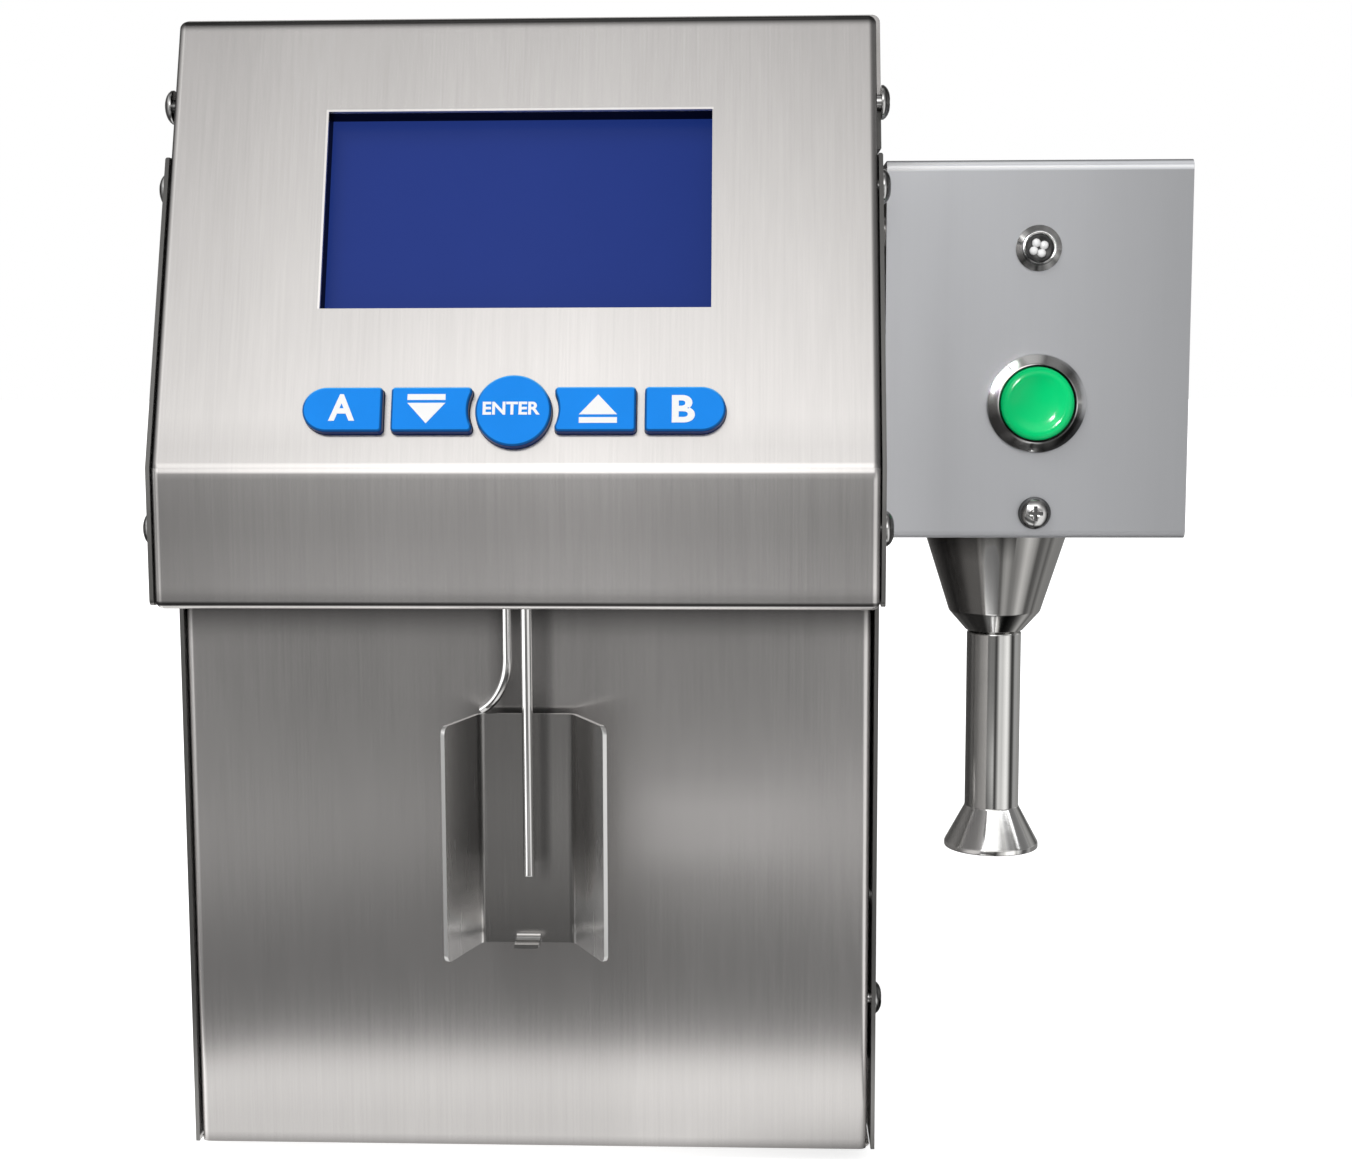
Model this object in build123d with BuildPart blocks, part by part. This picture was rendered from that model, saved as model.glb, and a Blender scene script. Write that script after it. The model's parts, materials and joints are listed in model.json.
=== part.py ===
from build123d import *
from math import atan2, cos, radians, sin
import os

os.makedirs("parts", exist_ok=True)

# Bench milk analyzer with a stirrer box on its right side. Millimetres, +Z up, front towards -Y.
# Heights are counted from the bottom of the case, depths from the face of the lower front panel.

# Sheet metal
sheet = 0.8
bend = 1.6
head_bend = 7.0
seam = 0.2
lap_gap = 0.1
overrun = 4.0
open_share = 0.3
hole_gap = 0.05

# Case
case_width = 138.0
case_depth = 188.0
foot_height = 3.0
foot_radius = 7.0
foot_inset_x = 18.0
foot_inset_y = 22.0
foot_chamfer = 0.8

# Head
fascia_reach = 20.0
fascia_foot = 111.9
fascia_height = 26.5
slope_rise = 86.7
top_setback = 8.934
fascia_top = fascia_foot + fascia_height
case_height = fascia_top + slope_rise
cover_flange = 14.0
cover_panel_gap = 0.5
hood_skirt = 26.6
hood_setback = 5.6
skirt_gap = 1.3
plate_setback = 0.6
plate_corner = 1.2
plate_fold = 7.0
fold_inset = 16.0

# Lower front panel, tray and rear panel
panel_side_gap = 0.9
panel_flange = 12.0
panel_lap = 10.0
tray_flange = 14.0
tray_notch = 14.0
rear_flange = 12.0
vent_width = 3.0
vent_length = 34.0
vent_pitch = 8.0
vent_rows = 7
vent_drop = 60.1

# Side screws
screw_head_radius = 3.3
screw_head_height = 2.2
screw_shank_radius = 1.5
screw_length = 5.0
screw_flat_radius = 0.9
recess_length = 3.0
recess_width = 0.7
recess_depth = 1.1
screw_edge = 5.0
low_screw_edge = 9.5
hood_screw_drop = 17.6
head_screw_drop = 6.2
fascia_screw_rise = 14.9
panel_screw_height = 28.5
rear_screw_edge = 6.0
rear_low_screw = 40.0
rear_screw_drop = 47.2
tray_screw_height = 7.0
tray_screw_depths = [62.0, 126.0]

# Display
window_width = 74.0
window_height = 39.9
window_drop = 40.24
window_shift = -0.5
glass_depth = 4.5
glass_thickness = 2.6
glass_margin = 2.0
lcd_border = 6.5
lcd_frame_front = 1.0
board_depth = 8.4
board_thickness = 1.6
lcd_board_width = 93.0
lcd_board_height = 70.0
standoff_radius = 2.5
standoff_inset = 3.5

# Keys
key_up_slope = 10.3
key_height = 9.2
key_corner = 0.8
key_rise = 2.2
key_edge = 0.6
key_hole_gap = 0.12
key_flange = 0.45
key_flange_thickness = 0.8
key_flange_gap = 0.15
key_travel = 1.0
enter_radius = 7.2
enter_gap = 1.2
inner_key_outer = 22.8
inner_key_inner = 7.7
outer_key_inner = 24.4
outer_key_outer = 39.4
stem_radius = 1.6
stem_gap = 0.15
switch_size = 6.0
switch_height = 3.4
switch_floor = 1.0
key_board_width = 95.0
key_board_height = 12.6
key_board_low = 2.4

# Tubes below the head
sample_tube_radius = 1.05
sample_tube_bore = 0.65
sample_tube_x = 1.0
sample_tube_y = -10.0
sample_tube_drop = 53.3
outlet_tube_radius = 0.9
outlet_tube_bore = 0.55
outlet_tube_x = -3.3
outlet_tube_y = -5.6
outlet_bend_drop = 17.8
outlet_bend_radius = 12.0
outlet_drop = 4.3
outlet_left = 5.5
outlet_back = 4.2
tube_rise = 12.1
grommet_flange_radius = 2.5
grommet_waist_radius = 1.8
grommet_flange = 0.8

# Sample holder
holder_gap = 3.2
holder_width = 18.0
holder_x = 0.1
holder_drop = 22.5
holder_height = 45.9
holder_reach = 14.5
holder_spread_left = 4.9
holder_spread_right = 7.0
holder_wing_trim = 1.0
holder_corner = 1.6
tongue_width = 4.7
tongue_slot = 0.3
tongue_reach = 4.4
tongue_rise = 2.0
tongue_corner = 0.5
stud_radius = 1.5
stud_collar_radius = 2.6
stud_head_radius = 3.0
stud_heights = [12.0, 32.0]
stud_tail = 3.0
stud_nut = 2.2

# Measuring cell
cell_x = 34.0
cell_y = 62.0
cell_foot = 26.0
cell_height = 60.0
cell_size = 24.0
cell_bore = 8.0
cell_chamfer = 1.5
port_inset = 10.0
port_radius = 1.05
port_length = 6.0
port_lap = 5.0
transducer_radius = 9.0
transducer_height = 4.0
bracket_sheet = 1.5
bracket_foot = 16.0
cell_bracket_height = 80.0

# Pump
pump_x = -30.0
pump_y = 86.0
pump_height = 66.0
pump_wall = 2.5
pump_depth = 16.0
pump_back = 2.0
pump_cover_thickness = 2.0
pump_bracket_width = 50.0
pump_bracket_height = 92.0
track_gap = 0.3
rotor_radius = 12.5
rotor_disc = 1.6
rotor_gap = 0.2
rotor_hub_radius = 4.6
pin_radius = 1.5
roller_radius = 4.0
roller_ring = 9.7
roller_count = 3
shaft_radius = 2.0
gearbox_radius = 15.0
gearbox_length = 20.0
motor_radius = 12.5
motor_length = 30.0
boss_radius = 7.0

# Hoses
hose_radius = 2.4
hose_bore = 1.1
hose_lap = 7.0
hose_bend = 9.0
hose_bend_small = 6.0

# Boards in the case
main_board_width = 108.0
main_board_front = 106.0
main_board_gap = 12.0
main_board_height = 8.0

# Rear connectors
connector_height = 42.0
port_x = -22.0
port_flange_width = 30.8
port_flange_height = 12.5
port_flange_sheet = 0.8
port_shell_width = 17.0
port_shell_height = 8.4
port_shell_reach = 6.0
port_shell_wall = 0.5
port_insert_drop = 1.0
port_body_depth = 9.0
port_screw_spacing = 25.0
port_screw_radius = 2.4
port_screw_length = 4.6
inlet_x = 12.0
inlet_radius = 7.0
inlet_flange_radius = 9.0
inlet_reach = 2.5
inlet_bore = 5.0
inlet_depth = 12.0
inlet_socket_depth = 8.0
inlet_pin_radius = 0.5
inlet_pin_ring = 3.6
inlet_pin_count = 4
switch_inset = 27.0
switch_flange_width = 15.0
switch_flange_height = 21.6
switch_flange_sheet = 1.6
switch_body_width = 13.0
switch_body_height = 19.4
switch_body_depth = 14.0
switch_well_width = 10.6
switch_well_height = 18.0
switch_well_depth = 9.0
rocker_side_gap = 0.2
rocker_half_height = 7.8
rocker_front = 4.6
rocker_drum_radius = 4.4
rocker_axis_depth = 2.2
rocker_tilt = 8.0

# Stirrer box
box_gap = 2.0
box_width = 61.0
box_height = 75.9
box_depth = 62.0
box_top_drop = 27.5
box_front = 20.0
box_lip = 8.0
box_tab_width = 14.0
box_tab_height = 9.0
face_screw_up = 5.2
box_screw_depths = [10.0, 52.0]
box_screw_heights = [14.0, 62.0]
spacer_radius = 4.0
mount_screw_length = 6.6
mount_nut_radius = 3.0
mount_nut_height = 2.4

# Push button
button_up = 27.4
bezel_radius = 10.0
bezel_rise = 2.4
bezel_rim = 0.6
bezel_lip_radius = 8.0
button_radius = 7.55
button_gap = 0.25
button_edge_drop = 0.2
button_crown = 0.9
button_skirt = 2.4
button_travel = 2.5
button_stem_radius = 5.0
button_stem_depth = 7.4
barrel_radius = 8.6
barrel_length = 11.0
barrel_step = 5.4
button_nut_radius = 11.0
button_nut_height = 2.4

# Indicator lamp
lamp_up = 58.4
lamp_bezel_radius = 4.6
lamp_bezel_rise = 1.3
lamp_body_radius = 3.9
lamp_body_length = 12.0
lamp_lens_radius = 2.9
lamp_lens_rise = 1.0
lamp_lens_back = 4.0
lamp_facets = 6

# Stirrer horn
horn_shift = 4.2
horn_depth = 30.0
horn_flange_radius = 19.0
horn_flange = 2.5
horn_top_radius = 15.5
horn_stack_radius = 15.0
horn_stack_height = 10.0
horn_below = 1.0
waist_radius = 9.9
waist_drop = 18.6
neck_radius = 6.2
neck_drop = 22.6
rod_radius = 5.9
joint_radius = 5.2
joint_gap = 0.6
flare_drop = 62.1
rim_drop = 70.3
rim_radius = 10.3
rim_height = 1.1
stud_thread_radius = 3.0
stud_thread_length = 8.0
ring_height = 4.2
ring_bore = 5.0
ring_count = 4
back_mass_height = 17.0
bolt_radius = 4.0
bolt_head_radius = 6.5
bolt_head_height = 6.0
bolt_socket_radius = 3.2
bolt_socket_depth = 4.0
driver_board_height = 50.0
driver_board_length = 48.0
driver_board_up = 14.0
driver_board_back = 6.0
driver_stand = 5.0

# Overall frame: the middle of the whole assembly, seen from above, lies on the Z axis
left_reach = case_width / 2 + screw_head_height
right_reach = case_width / 2 + box_gap + box_width
case_x = (left_reach - right_reach) / 2
slope_run = (fascia_reach + top_setback) / slope_rise
slope_angle = atan2(fascia_reach + top_setback, slope_rise)
enter_low = key_up_slope - enter_radius + key_edge
front_reach = fascia_reach - enter_low * sin(slope_angle) + (key_rise - key_edge) * cos(slope_angle) + key_edge
panel_y = (front_reach - case_depth - port_shell_reach) / 2

# Worked out from the sizes above
cover_top = case_height - sheet - lap_gap
cover_top_y = top_setback - (case_height - cover_top) * slope_run
cover_width = case_width - 2 * sheet - 2 * seam
inner_width = case_width - 2 * sheet
slope_length = slope_rise / cos(slope_angle)
window_up = slope_length - window_drop
side_top = case_height - hood_skirt - skirt_gap
hood_screw_height = case_height - hood_screw_drop
head_screw_height = side_top - head_screw_drop
fascia_screw_height = fascia_foot + fascia_screw_rise
rear_screw_heights = [rear_low_screw, side_top - rear_screw_drop]
vent_height = case_height - vent_drop
outlet_bend_height = fascia_foot - outlet_bend_drop
holder_foot = fascia_foot - holder_drop - holder_height
tube_top = fascia_foot + tube_rise
skirt_foot = case_height - hood_skirt
panel_width = inner_width - 2 * panel_side_gap
box_left = case_width / 2 + box_gap
box_mid = box_left + box_width / 2
box_back = box_front + box_depth
box_top = case_height - box_top_drop
box_foot = box_top - box_height
horn_x = box_mid - horn_shift
horn_y = box_front + horn_depth
key_stack = sheet + key_flange_gap
main_board_length = case_depth - main_board_gap - main_board_front
switch_x = case_width / 2 - switch_inset


def level(height):
    """Plane seen from above, at a height over the bottom of the case."""
    return Plane(origin=(case_x, panel_y, foot_height + height), x_dir=(1, 0, 0), z_dir=(0, 0, 1))


def facing(depth):
    """Plane seen from the front, at a depth behind the lower front panel's face."""
    return Plane(origin=(case_x, panel_y + depth, foot_height), x_dir=(1, 0, 0), z_dir=(0, -1, 0))


def side(x):
    """Plane seen from the right, with depth to the right and height up."""
    return Plane(origin=(case_x + x, panel_y, foot_height), x_dir=(0, 1, 0), z_dir=(1, 0, 0))


def upright(x, depth):
    """Front view plane through a vertical axis, for turned pieces that stand upright."""
    return Plane(origin=(case_x + x, panel_y + depth, foot_height), x_dir=(1, 0, 0), z_dir=(0, -1, 0))


def turned(x, height):
    """Plane through an axis that runs front to back: radius to the right, depth up the sketch."""
    return Plane(origin=(case_x + x, panel_y, foot_height + height), x_dir=(1, 0, 0), z_dir=(0, 0, 1))


def spot(x, depth, height):
    """A point given by its distance from the case's middle, its depth and its height."""
    return Vector(case_x + x, panel_y + depth, foot_height + height)


def edge_depth(height):
    """Depth of the sloped face at a height."""
    return -fascia_reach + (height - fascia_top) * slope_run


slope = Plane(
    origin=(case_x, panel_y - fascia_reach, foot_height + fascia_top),
    x_dir=(1, 0, 0),
    z_dir=(0, -cos(slope_angle), sin(slope_angle)),
)

# Side screw seats: depth and height, the same on both sides
cover_seats = [
    (edge_depth(hood_screw_height) + screw_edge, hood_screw_height),
    (edge_depth(head_screw_height) + screw_edge, head_screw_height),
    (-fascia_reach + screw_edge, fascia_screw_height),
]
panel_seats = [(low_screw_edge, panel_screw_height)]
rear_seats = [(case_depth - rear_screw_edge, height) for height in rear_screw_heights]
rear_hood_seat = [(case_depth - rear_screw_edge, hood_screw_height)]
tray_seats = [(depth, tray_screw_height) for depth in tray_screw_depths]
all_seats = cover_seats + panel_seats + rear_seats + rear_hood_seat + tray_seats


def side_seats(places):
    """Seats on the outer faces of both side plates, each with its axis pointing out."""
    seats = []
    for hand in (-1, 1):
        for depth, height in places:
            seats.append(Plane(origin=spot(hand * case_width / 2, depth, height), z_dir=(hand, 0, 0)))
    return seats


def turn_screw(head_radius, head_height, shank_radius, shank_length):
    """Dome head with a cross recess on the seat plane, shank below it."""
    dome_run = head_radius - screw_flat_radius
    dome_rise = head_height - head_height / 4
    dome_radius = (dome_run**2 + dome_rise**2) / (2 * dome_rise)
    with BuildPart() as screw:
        with BuildSketch(Plane.XZ):
            with BuildLine():
                Polyline((0, -shank_length), (shank_radius, -shank_length), (shank_radius, 0), (head_radius, 0))
                Line((head_radius, 0), (head_radius, head_height / 4))
                RadiusArc((head_radius, head_height / 4), (screw_flat_radius, head_height), -dome_radius)
                Polyline((screw_flat_radius, head_height), (0, head_height), (0, -shank_length))
            make_face()
        revolve(axis=Axis.Z)
        with BuildSketch(Plane.XY.offset(head_height)):
            Rectangle(recess_length, recess_width)
            Rectangle(recess_width, recess_length)
        extrude(amount=-recess_depth, mode=Mode.SUBTRACT)
    return screw.part


# Front cover: sloped face, fascia, underside, top flange and side flanges, one folded sheet
cover_knee = fascia_top + (fascia_reach - cover_flange - cover_panel_gap) / slope_run
cover_outline = [
    (-cover_panel_gap, fascia_foot),
    (-fascia_reach, fascia_foot),
    (-fascia_reach, fascia_top),
    (cover_top_y, cover_top),
    (cover_top_y + cover_flange, cover_top),
    (-cover_panel_gap, cover_knee),
]


def key_outline(name, grow):
    """Outline of one key on the sloped face, centred on the middle of the row."""
    with BuildSketch() as face:
        if name == "enter":
            Circle(enter_radius)
        elif name in ("down", "up"):
            hand = -1 if name == "down" else 1
            width = inner_key_outer - inner_key_inner
            with Locations((hand * (inner_key_outer + inner_key_inner) / 2, 0)):
                Rectangle(width, key_height)
            Circle(enter_radius + enter_gap, mode=Mode.SUBTRACT)
            fillet(face.vertices(), radius=key_corner)
        else:
            hand = -1 if name == "a" else 1
            round_x = outer_key_outer - key_height / 2
            with Locations((hand * (outer_key_inner + round_x) / 2, 0)):
                Rectangle(round_x - outer_key_inner, key_height)
            fillet(face.vertices().group_by(Axis.X)[0 if hand > 0 else -1], radius=key_corner)
            with Locations((hand * round_x, 0)):
                Circle(key_height / 2)
        if grow > 0:
            offset(amount=grow)
    return face.sketch


def key_centre(name):
    """Where the stem of a key stands, across the row."""
    inner = (inner_key_outer + enter_radius + enter_gap) / 2
    outer = (outer_key_inner + outer_key_outer) / 2
    return {"a": -outer, "down": -inner, "enter": 0, "up": inner, "b": outer}[name]


key_names = ["a", "down", "enter", "up", "b"]

with BuildPart() as front_cover:
    with BuildSketch(side(-cover_width / 2)):
        with BuildLine():
            Polyline(*cover_outline, close=True)
        outline_face = make_face()
        front_corners = outline_face.vertices().group_by(Axis.X)[0]
        fillet(front_corners.sort_by(Axis.Y)[-1], radius=head_bend)
    extrude(amount=cover_width)
    back_faces = [face for face in front_cover.faces() if face.normal_at().Y > open_share]
    kept = [edge for face in back_faces for edge in face.edges()]
    kept += front_cover.faces().filter_by(GeomType.CYLINDER).edges().filter_by(Axis.X)
    bends = [edge for edge in front_cover.edges() if edge not in kept]
    fillet(bends, radius=bend)
    back_faces = [face for face in front_cover.faces().filter_by(GeomType.PLANE) if face.normal_at().Y > open_share]
    offset(amount=-sheet, openings=back_faces)
    with BuildSketch(slope):
        with Locations((window_shift, window_up)):
            Rectangle(window_width, window_height)
        with Locations((0, key_up_slope)):
            for name in key_names:
                add(key_outline(name, key_hole_gap))
    extrude(amount=-2 * sheet, mode=Mode.SUBTRACT)
    with BuildSketch(level(fascia_foot)):
        with Locations((sample_tube_x, sample_tube_y), (outlet_tube_x, outlet_tube_y)):
            Circle(grommet_waist_radius + hole_gap)
    extrude(amount=2 * sheet, both=True, mode=Mode.SUBTRACT)
    with Locations(*side_seats(cover_seats)):
        Hole(radius=screw_shank_radius + hole_gap, depth=screw_length)
front_cover.part.label = "front_cover"
export_step(front_cover.part, "parts/front_cover.step")

# Lower front panel: closes the tray's front edge, its flanges folded back
panel_top = fascia_foot + panel_lap
with BuildPart() as lower_front_panel:
    with BuildSketch(level(0)):
        with Locations((0, panel_flange / 2)):
            Rectangle(panel_width, panel_flange)
    extrude(amount=panel_top)
    front_edges = lower_front_panel.edges().filter_by(Axis.Z).group_by(Axis.Y)[0]
    fillet(front_edges, radius=bend)
    ends = lower_front_panel.faces().filter_by(Axis.Z)
    back = lower_front_panel.faces().sort_by(Axis.Y)[-1]
    offset(amount=-sheet, openings=[*ends, back])
    with BuildSketch(side(-case_width / 2)):
        with Locations((sheet, 0)):
            Rectangle(panel_flange, bend + lap_gap, align=(Align.MIN, Align.MIN))
    extrude(amount=case_width, mode=Mode.SUBTRACT)
    with BuildSketch(facing(0)):
        for stud_height in stud_heights:
            with Locations((holder_x, holder_foot + stud_height)):
                Circle(stud_radius + hole_gap)
    extrude(amount=-2 * sheet, mode=Mode.SUBTRACT)
    with Locations(*side_seats(panel_seats)):
        Hole(radius=screw_shank_radius + hole_gap, depth=screw_length)
lower_front_panel.part.label = "lower_front_panel"
export_step(lower_front_panel.part, "parts/lower_front_panel.step")

# Side plates: follow the outline of the head up to the hood's skirt, top edge folded inwards
plate_outline = [
    (0, 0),
    (0, fascia_foot + plate_setback),
    (-fascia_reach + plate_setback, fascia_foot + plate_setback),
    (-fascia_reach + plate_setback, fascia_top),
    (edge_depth(side_top) + plate_setback, side_top),
    (case_depth, side_top),
    (case_depth, 0),
]
box_screw_places = [
    (box_front + depth, box_foot + height) for depth in box_screw_depths for height in box_screw_heights
]


def make_side_plate(hand):
    """One side plate; the right one also carries the stirrer box."""
    with BuildPart() as plate:
        with BuildSketch(side(hand * case_width / 2)):
            with BuildLine():
                Polyline(*plate_outline, close=True)
            make_face()
        extrude(amount=-hand * sheet)
        with BuildSketch(level(side_top)):
            with Locations((hand * case_width / 2, (top_setback + case_depth) / 2)):
                Rectangle(
                    plate_fold,
                    case_depth - top_setback - 2 * fold_inset,
                    align=(Align.MIN if hand < 0 else Align.MAX, Align.CENTER),
                )
        extrude(amount=-sheet)
        fold_edges = plate.edges().filter_by(Axis.Y).group_by(Axis.Z)[-1]
        fillet(fold_edges.sort_by(Axis.X)[0 if hand < 0 else -1], radius=sheet / 2)
        corners = plate.edges().filter_by(Axis.X).group_by(Axis.Y)[0]
        fillet(corners.sort_by(Axis.Z)[0], radius=plate_corner)
        with Locations(*side_seats(all_seats)):
            Hole(radius=screw_shank_radius + hole_gap, depth=screw_length)
        if hand > 0:
            with BuildSketch(side(case_width / 2)):
                with Locations(*box_screw_places):
                    Circle(screw_shank_radius + hole_gap)
            extrude(amount=-2 * sheet, mode=Mode.SUBTRACT)
    return plate.part


left_side_plate = make_side_plate(-1)
left_side_plate.label = "left_side_plate"
export_step(left_side_plate, "parts/left_side_plate.step")
right_side_plate = make_side_plate(1)
right_side_plate.label = "right_side_plate"
export_step(right_side_plate, "parts/right_side_plate.step")

# Top hood: top sheet with two short skirts, cut to the slope in front
with BuildPart() as top_hood:
    with BuildSketch(facing(case_depth)):
        with Locations((0, skirt_foot)):
            Rectangle(case_width, hood_skirt, align=(Align.CENTER, Align.MIN))
    extrude(amount=case_depth + fascia_reach)
    top_edges = top_hood.edges().filter_by(Axis.Y).group_by(Axis.Z)[-1]
    fillet(top_edges, radius=bend)
    ends = top_hood.faces().filter_by(Axis.Y)
    foot = top_hood.faces().sort_by(Axis.Z)[0]
    offset(amount=-sheet, openings=[*ends, foot])
    hood_cut = Plane(
        origin=spot(0, top_setback + hood_setback, case_height),
        x_dir=(1, 0, 0),
        z_dir=(0, -cos(slope_angle), sin(slope_angle)),
    )
    split(bisect_by=hood_cut, keep=Keep.BOTTOM)
    with Locations(*side_seats(cover_seats[:1] + rear_hood_seat)):
        Hole(radius=screw_shank_radius + hole_gap, depth=screw_length)
top_hood.part.label = "top_hood"
export_step(top_hood.part, "parts/top_hood.step")

# Base tray: floor with two side flanges, cut back behind the lower front panel
with BuildPart() as base_tray:
    with BuildSketch(level(0)):
        with Locations((0, sheet + lap_gap)):
            Rectangle(inner_width, case_depth - 2 * (sheet + lap_gap), align=(Align.CENTER, Align.MIN))
    extrude(amount=tray_flange)
    low_edges = base_tray.edges().filter_by(Axis.Y).group_by(Axis.Z)[0]
    fillet(low_edges, radius=bend)
    ends = base_tray.faces().filter_by(Axis.Y)
    lid = base_tray.faces().sort_by(Axis.Z)[-1]
    offset(amount=-sheet, openings=[*ends, lid])
    with BuildSketch(level(bend)):
        with Locations((0, case_depth - rear_flange - 2 * seam)):
            Rectangle(case_width, rear_flange, align=(Align.CENTER, Align.MIN))
    extrude(amount=tray_flange, mode=Mode.SUBTRACT)
    with BuildSketch(level(sheet)):
        Rectangle(case_width, tray_notch, align=(Align.CENTER, Align.MIN))
    extrude(amount=tray_flange, mode=Mode.SUBTRACT)
    with Locations(*side_seats(tray_seats)):
        Hole(radius=screw_shank_radius + hole_gap, depth=screw_length)
base_tray.part.label = "base_tray"
export_step(base_tray.part, "parts/base_tray.step")

# Rear panel: flat back with side flanges, vents and connector cut-outs
rear_foot = bend + lap_gap
rear_top = case_height - bend - lap_gap
with BuildPart() as rear_panel:
    with BuildSketch(level(rear_foot)):
        with Locations((0, case_depth - rear_flange / 2)):
            Rectangle(cover_width, rear_flange)
    extrude(amount=rear_top - rear_foot)
    back_edges = rear_panel.edges().filter_by(Axis.Z).group_by(Axis.Y)[-1]
    fillet(back_edges, radius=bend)
    ends = rear_panel.faces().filter_by(Axis.Z)
    open_side = rear_panel.faces().sort_by(Axis.Y)[0]
    offset(amount=-sheet, openings=[*ends, open_side])
    with BuildSketch(facing(case_depth)):
        for hand in (-1, 1):
            with Locations((hand * vent_length * 3 / 4, vent_height)):
                with GridLocations(vent_pitch, vent_pitch, 1, vent_rows):
                    SlotOverall(vent_length, vent_width)
        with Locations((port_x, connector_height)):
            Rectangle(port_shell_width + 2 * port_shell_wall, port_shell_height + 2 * port_shell_wall)
            with GridLocations(port_screw_spacing, port_screw_spacing, 2, 1):
                Circle(screw_shank_radius + hole_gap)
        with Locations((inlet_x, connector_height)):
            Circle(inlet_radius + hole_gap)
        with Locations((switch_x, connector_height)):
            Rectangle(switch_body_width + 2 * lap_gap, switch_body_height + 2 * lap_gap)
    extrude(amount=2 * sheet, both=True, mode=Mode.SUBTRACT)
    with Locations(*side_seats(rear_seats + rear_hood_seat)):
        Hole(radius=screw_shank_radius + hole_gap, depth=screw_length)
rear_panel.part.label = "rear_panel"
export_step(rear_panel.part, "parts/rear_panel.step")

# Side screws
side_screw = turn_screw(screw_head_radius, screw_head_height, screw_shank_radius, screw_length)
with BuildPart() as case_screws:
    with Locations(*side_seats(all_seats)):
        add(side_screw)
case_screws.part.label = "case_screws"
export_step(case_screws.part, "parts/case_screws.step")

# Rubber feet under the tray
with BuildPart() as rubber_feet:
    with BuildSketch(level(-foot_height)):
        with Locations((0, case_depth / 2)):
            with GridLocations(case_width - 2 * foot_inset_x, case_depth - 2 * foot_inset_y, 2, 2):
                Circle(foot_radius)
    extrude(amount=foot_height)
    chamfer(rubber_feet.edges().group_by(Axis.Z)[0], length=foot_chamfer)
rubber_feet.part.label = "rubber_feet"
export_step(rubber_feet.part, "parts/rubber_feet.step")

# Display: black frame, glass set back in it, board behind, all square to the sloped face
lcd_centre = (window_shift, window_up)
glass_size = (window_width + 2 * glass_margin, window_height + 2 * glass_margin)
with BuildPart() as lcd_frame:
    with BuildSketch(slope.offset(-lcd_frame_front)):
        with Locations(lcd_centre):
            Rectangle(window_width + 2 * lcd_border, window_height + 2 * lcd_border)
            Rectangle(window_width, window_height, mode=Mode.SUBTRACT)
    extrude(amount=-(board_depth - lcd_frame_front))
    with BuildSketch(slope.offset(-glass_depth)):
        with Locations(lcd_centre):
            Rectangle(glass_size[0] + 2 * lap_gap, glass_size[1] + 2 * lap_gap)
    extrude(amount=-(board_depth - glass_depth), mode=Mode.SUBTRACT)
    outer_edges = lcd_frame.edges().filter_by(Axis(slope.origin, slope.z_dir))
    fillet(outer_edges.group_by(Axis.X)[0] + outer_edges.group_by(Axis.X)[-1], radius=bend)
lcd_frame.part.label = "lcd_frame"
export_step(lcd_frame.part, "parts/lcd_frame.step")

with BuildPart() as lcd_glass:
    with BuildSketch(slope.offset(-glass_depth)):
        with Locations(lcd_centre):
            Rectangle(*glass_size)
    extrude(amount=-glass_thickness)
lcd_glass.part.label = "lcd_glass"
export_step(lcd_glass.part, "parts/lcd_glass.step")

lcd_hole_spacing = (lcd_board_width - 2 * standoff_inset, lcd_board_height - 2 * standoff_inset)
with BuildPart() as lcd_board:
    with BuildSketch(slope.offset(-board_depth)):
        with Locations(lcd_centre):
            Rectangle(lcd_board_width, lcd_board_height)
            with GridLocations(*lcd_hole_spacing, 2, 2):
                Circle(screw_shank_radius, mode=Mode.SUBTRACT)
    extrude(amount=-board_thickness)
lcd_board.part.label = "lcd_board"
export_step(lcd_board.part, "parts/lcd_board.step")

# Board behind the keys with one push switch for each key
key_board_mid = key_board_low + key_board_height / 2
with BuildPart() as key_board:
    with BuildSketch(slope.offset(-board_depth)):
        with Locations((0, key_board_mid)):
            Rectangle(key_board_width, key_board_height)
    extrude(amount=-board_thickness)
key_board.part.label = "key_board"
export_step(key_board.part, "parts/key_board.step")

with BuildPart() as board_standoffs:
    with BuildSketch(slope.offset(-sheet)):
        with Locations(lcd_centre):
            with GridLocations(*lcd_hole_spacing, 2, 2):
                Circle(standoff_radius)
        with Locations((0, key_board_mid)):
            with GridLocations(key_board_width - 2 * standoff_inset, key_board_height, 2, 1):
                Circle(standoff_radius)
    extrude(amount=-(board_depth - sheet))
    with BuildSketch(level(sheet)):
        with Locations((0, main_board_front + main_board_length / 2)):
            with GridLocations(
                main_board_width - 2 * standoff_inset, main_board_length - 2 * standoff_inset, 2, 2
            ):
                Circle(standoff_radius)
    extrude(amount=main_board_height - sheet)
board_standoffs.part.label = "board_standoffs"
export_step(board_standoffs.part, "parts/board_standoffs.step")

switch_top = board_depth - switch_height
with BuildPart() as key_switches:
    with BuildSketch(slope.offset(-board_depth)):
        with Locations(*[(key_centre(name), key_up_slope) for name in key_names]):
            Rectangle(switch_size, switch_size)
    extrude(amount=switch_height)
    with BuildSketch(slope.offset(-switch_top)):
        with Locations(*[(key_centre(name), key_up_slope) for name in key_names]):
            Circle(stem_radius + stem_gap)
    extrude(amount=-(switch_height - switch_floor), mode=Mode.SUBTRACT)
key_switches.part.label = "key_switches"
export_step(key_switches.part, "parts/key_switches.step")

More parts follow.
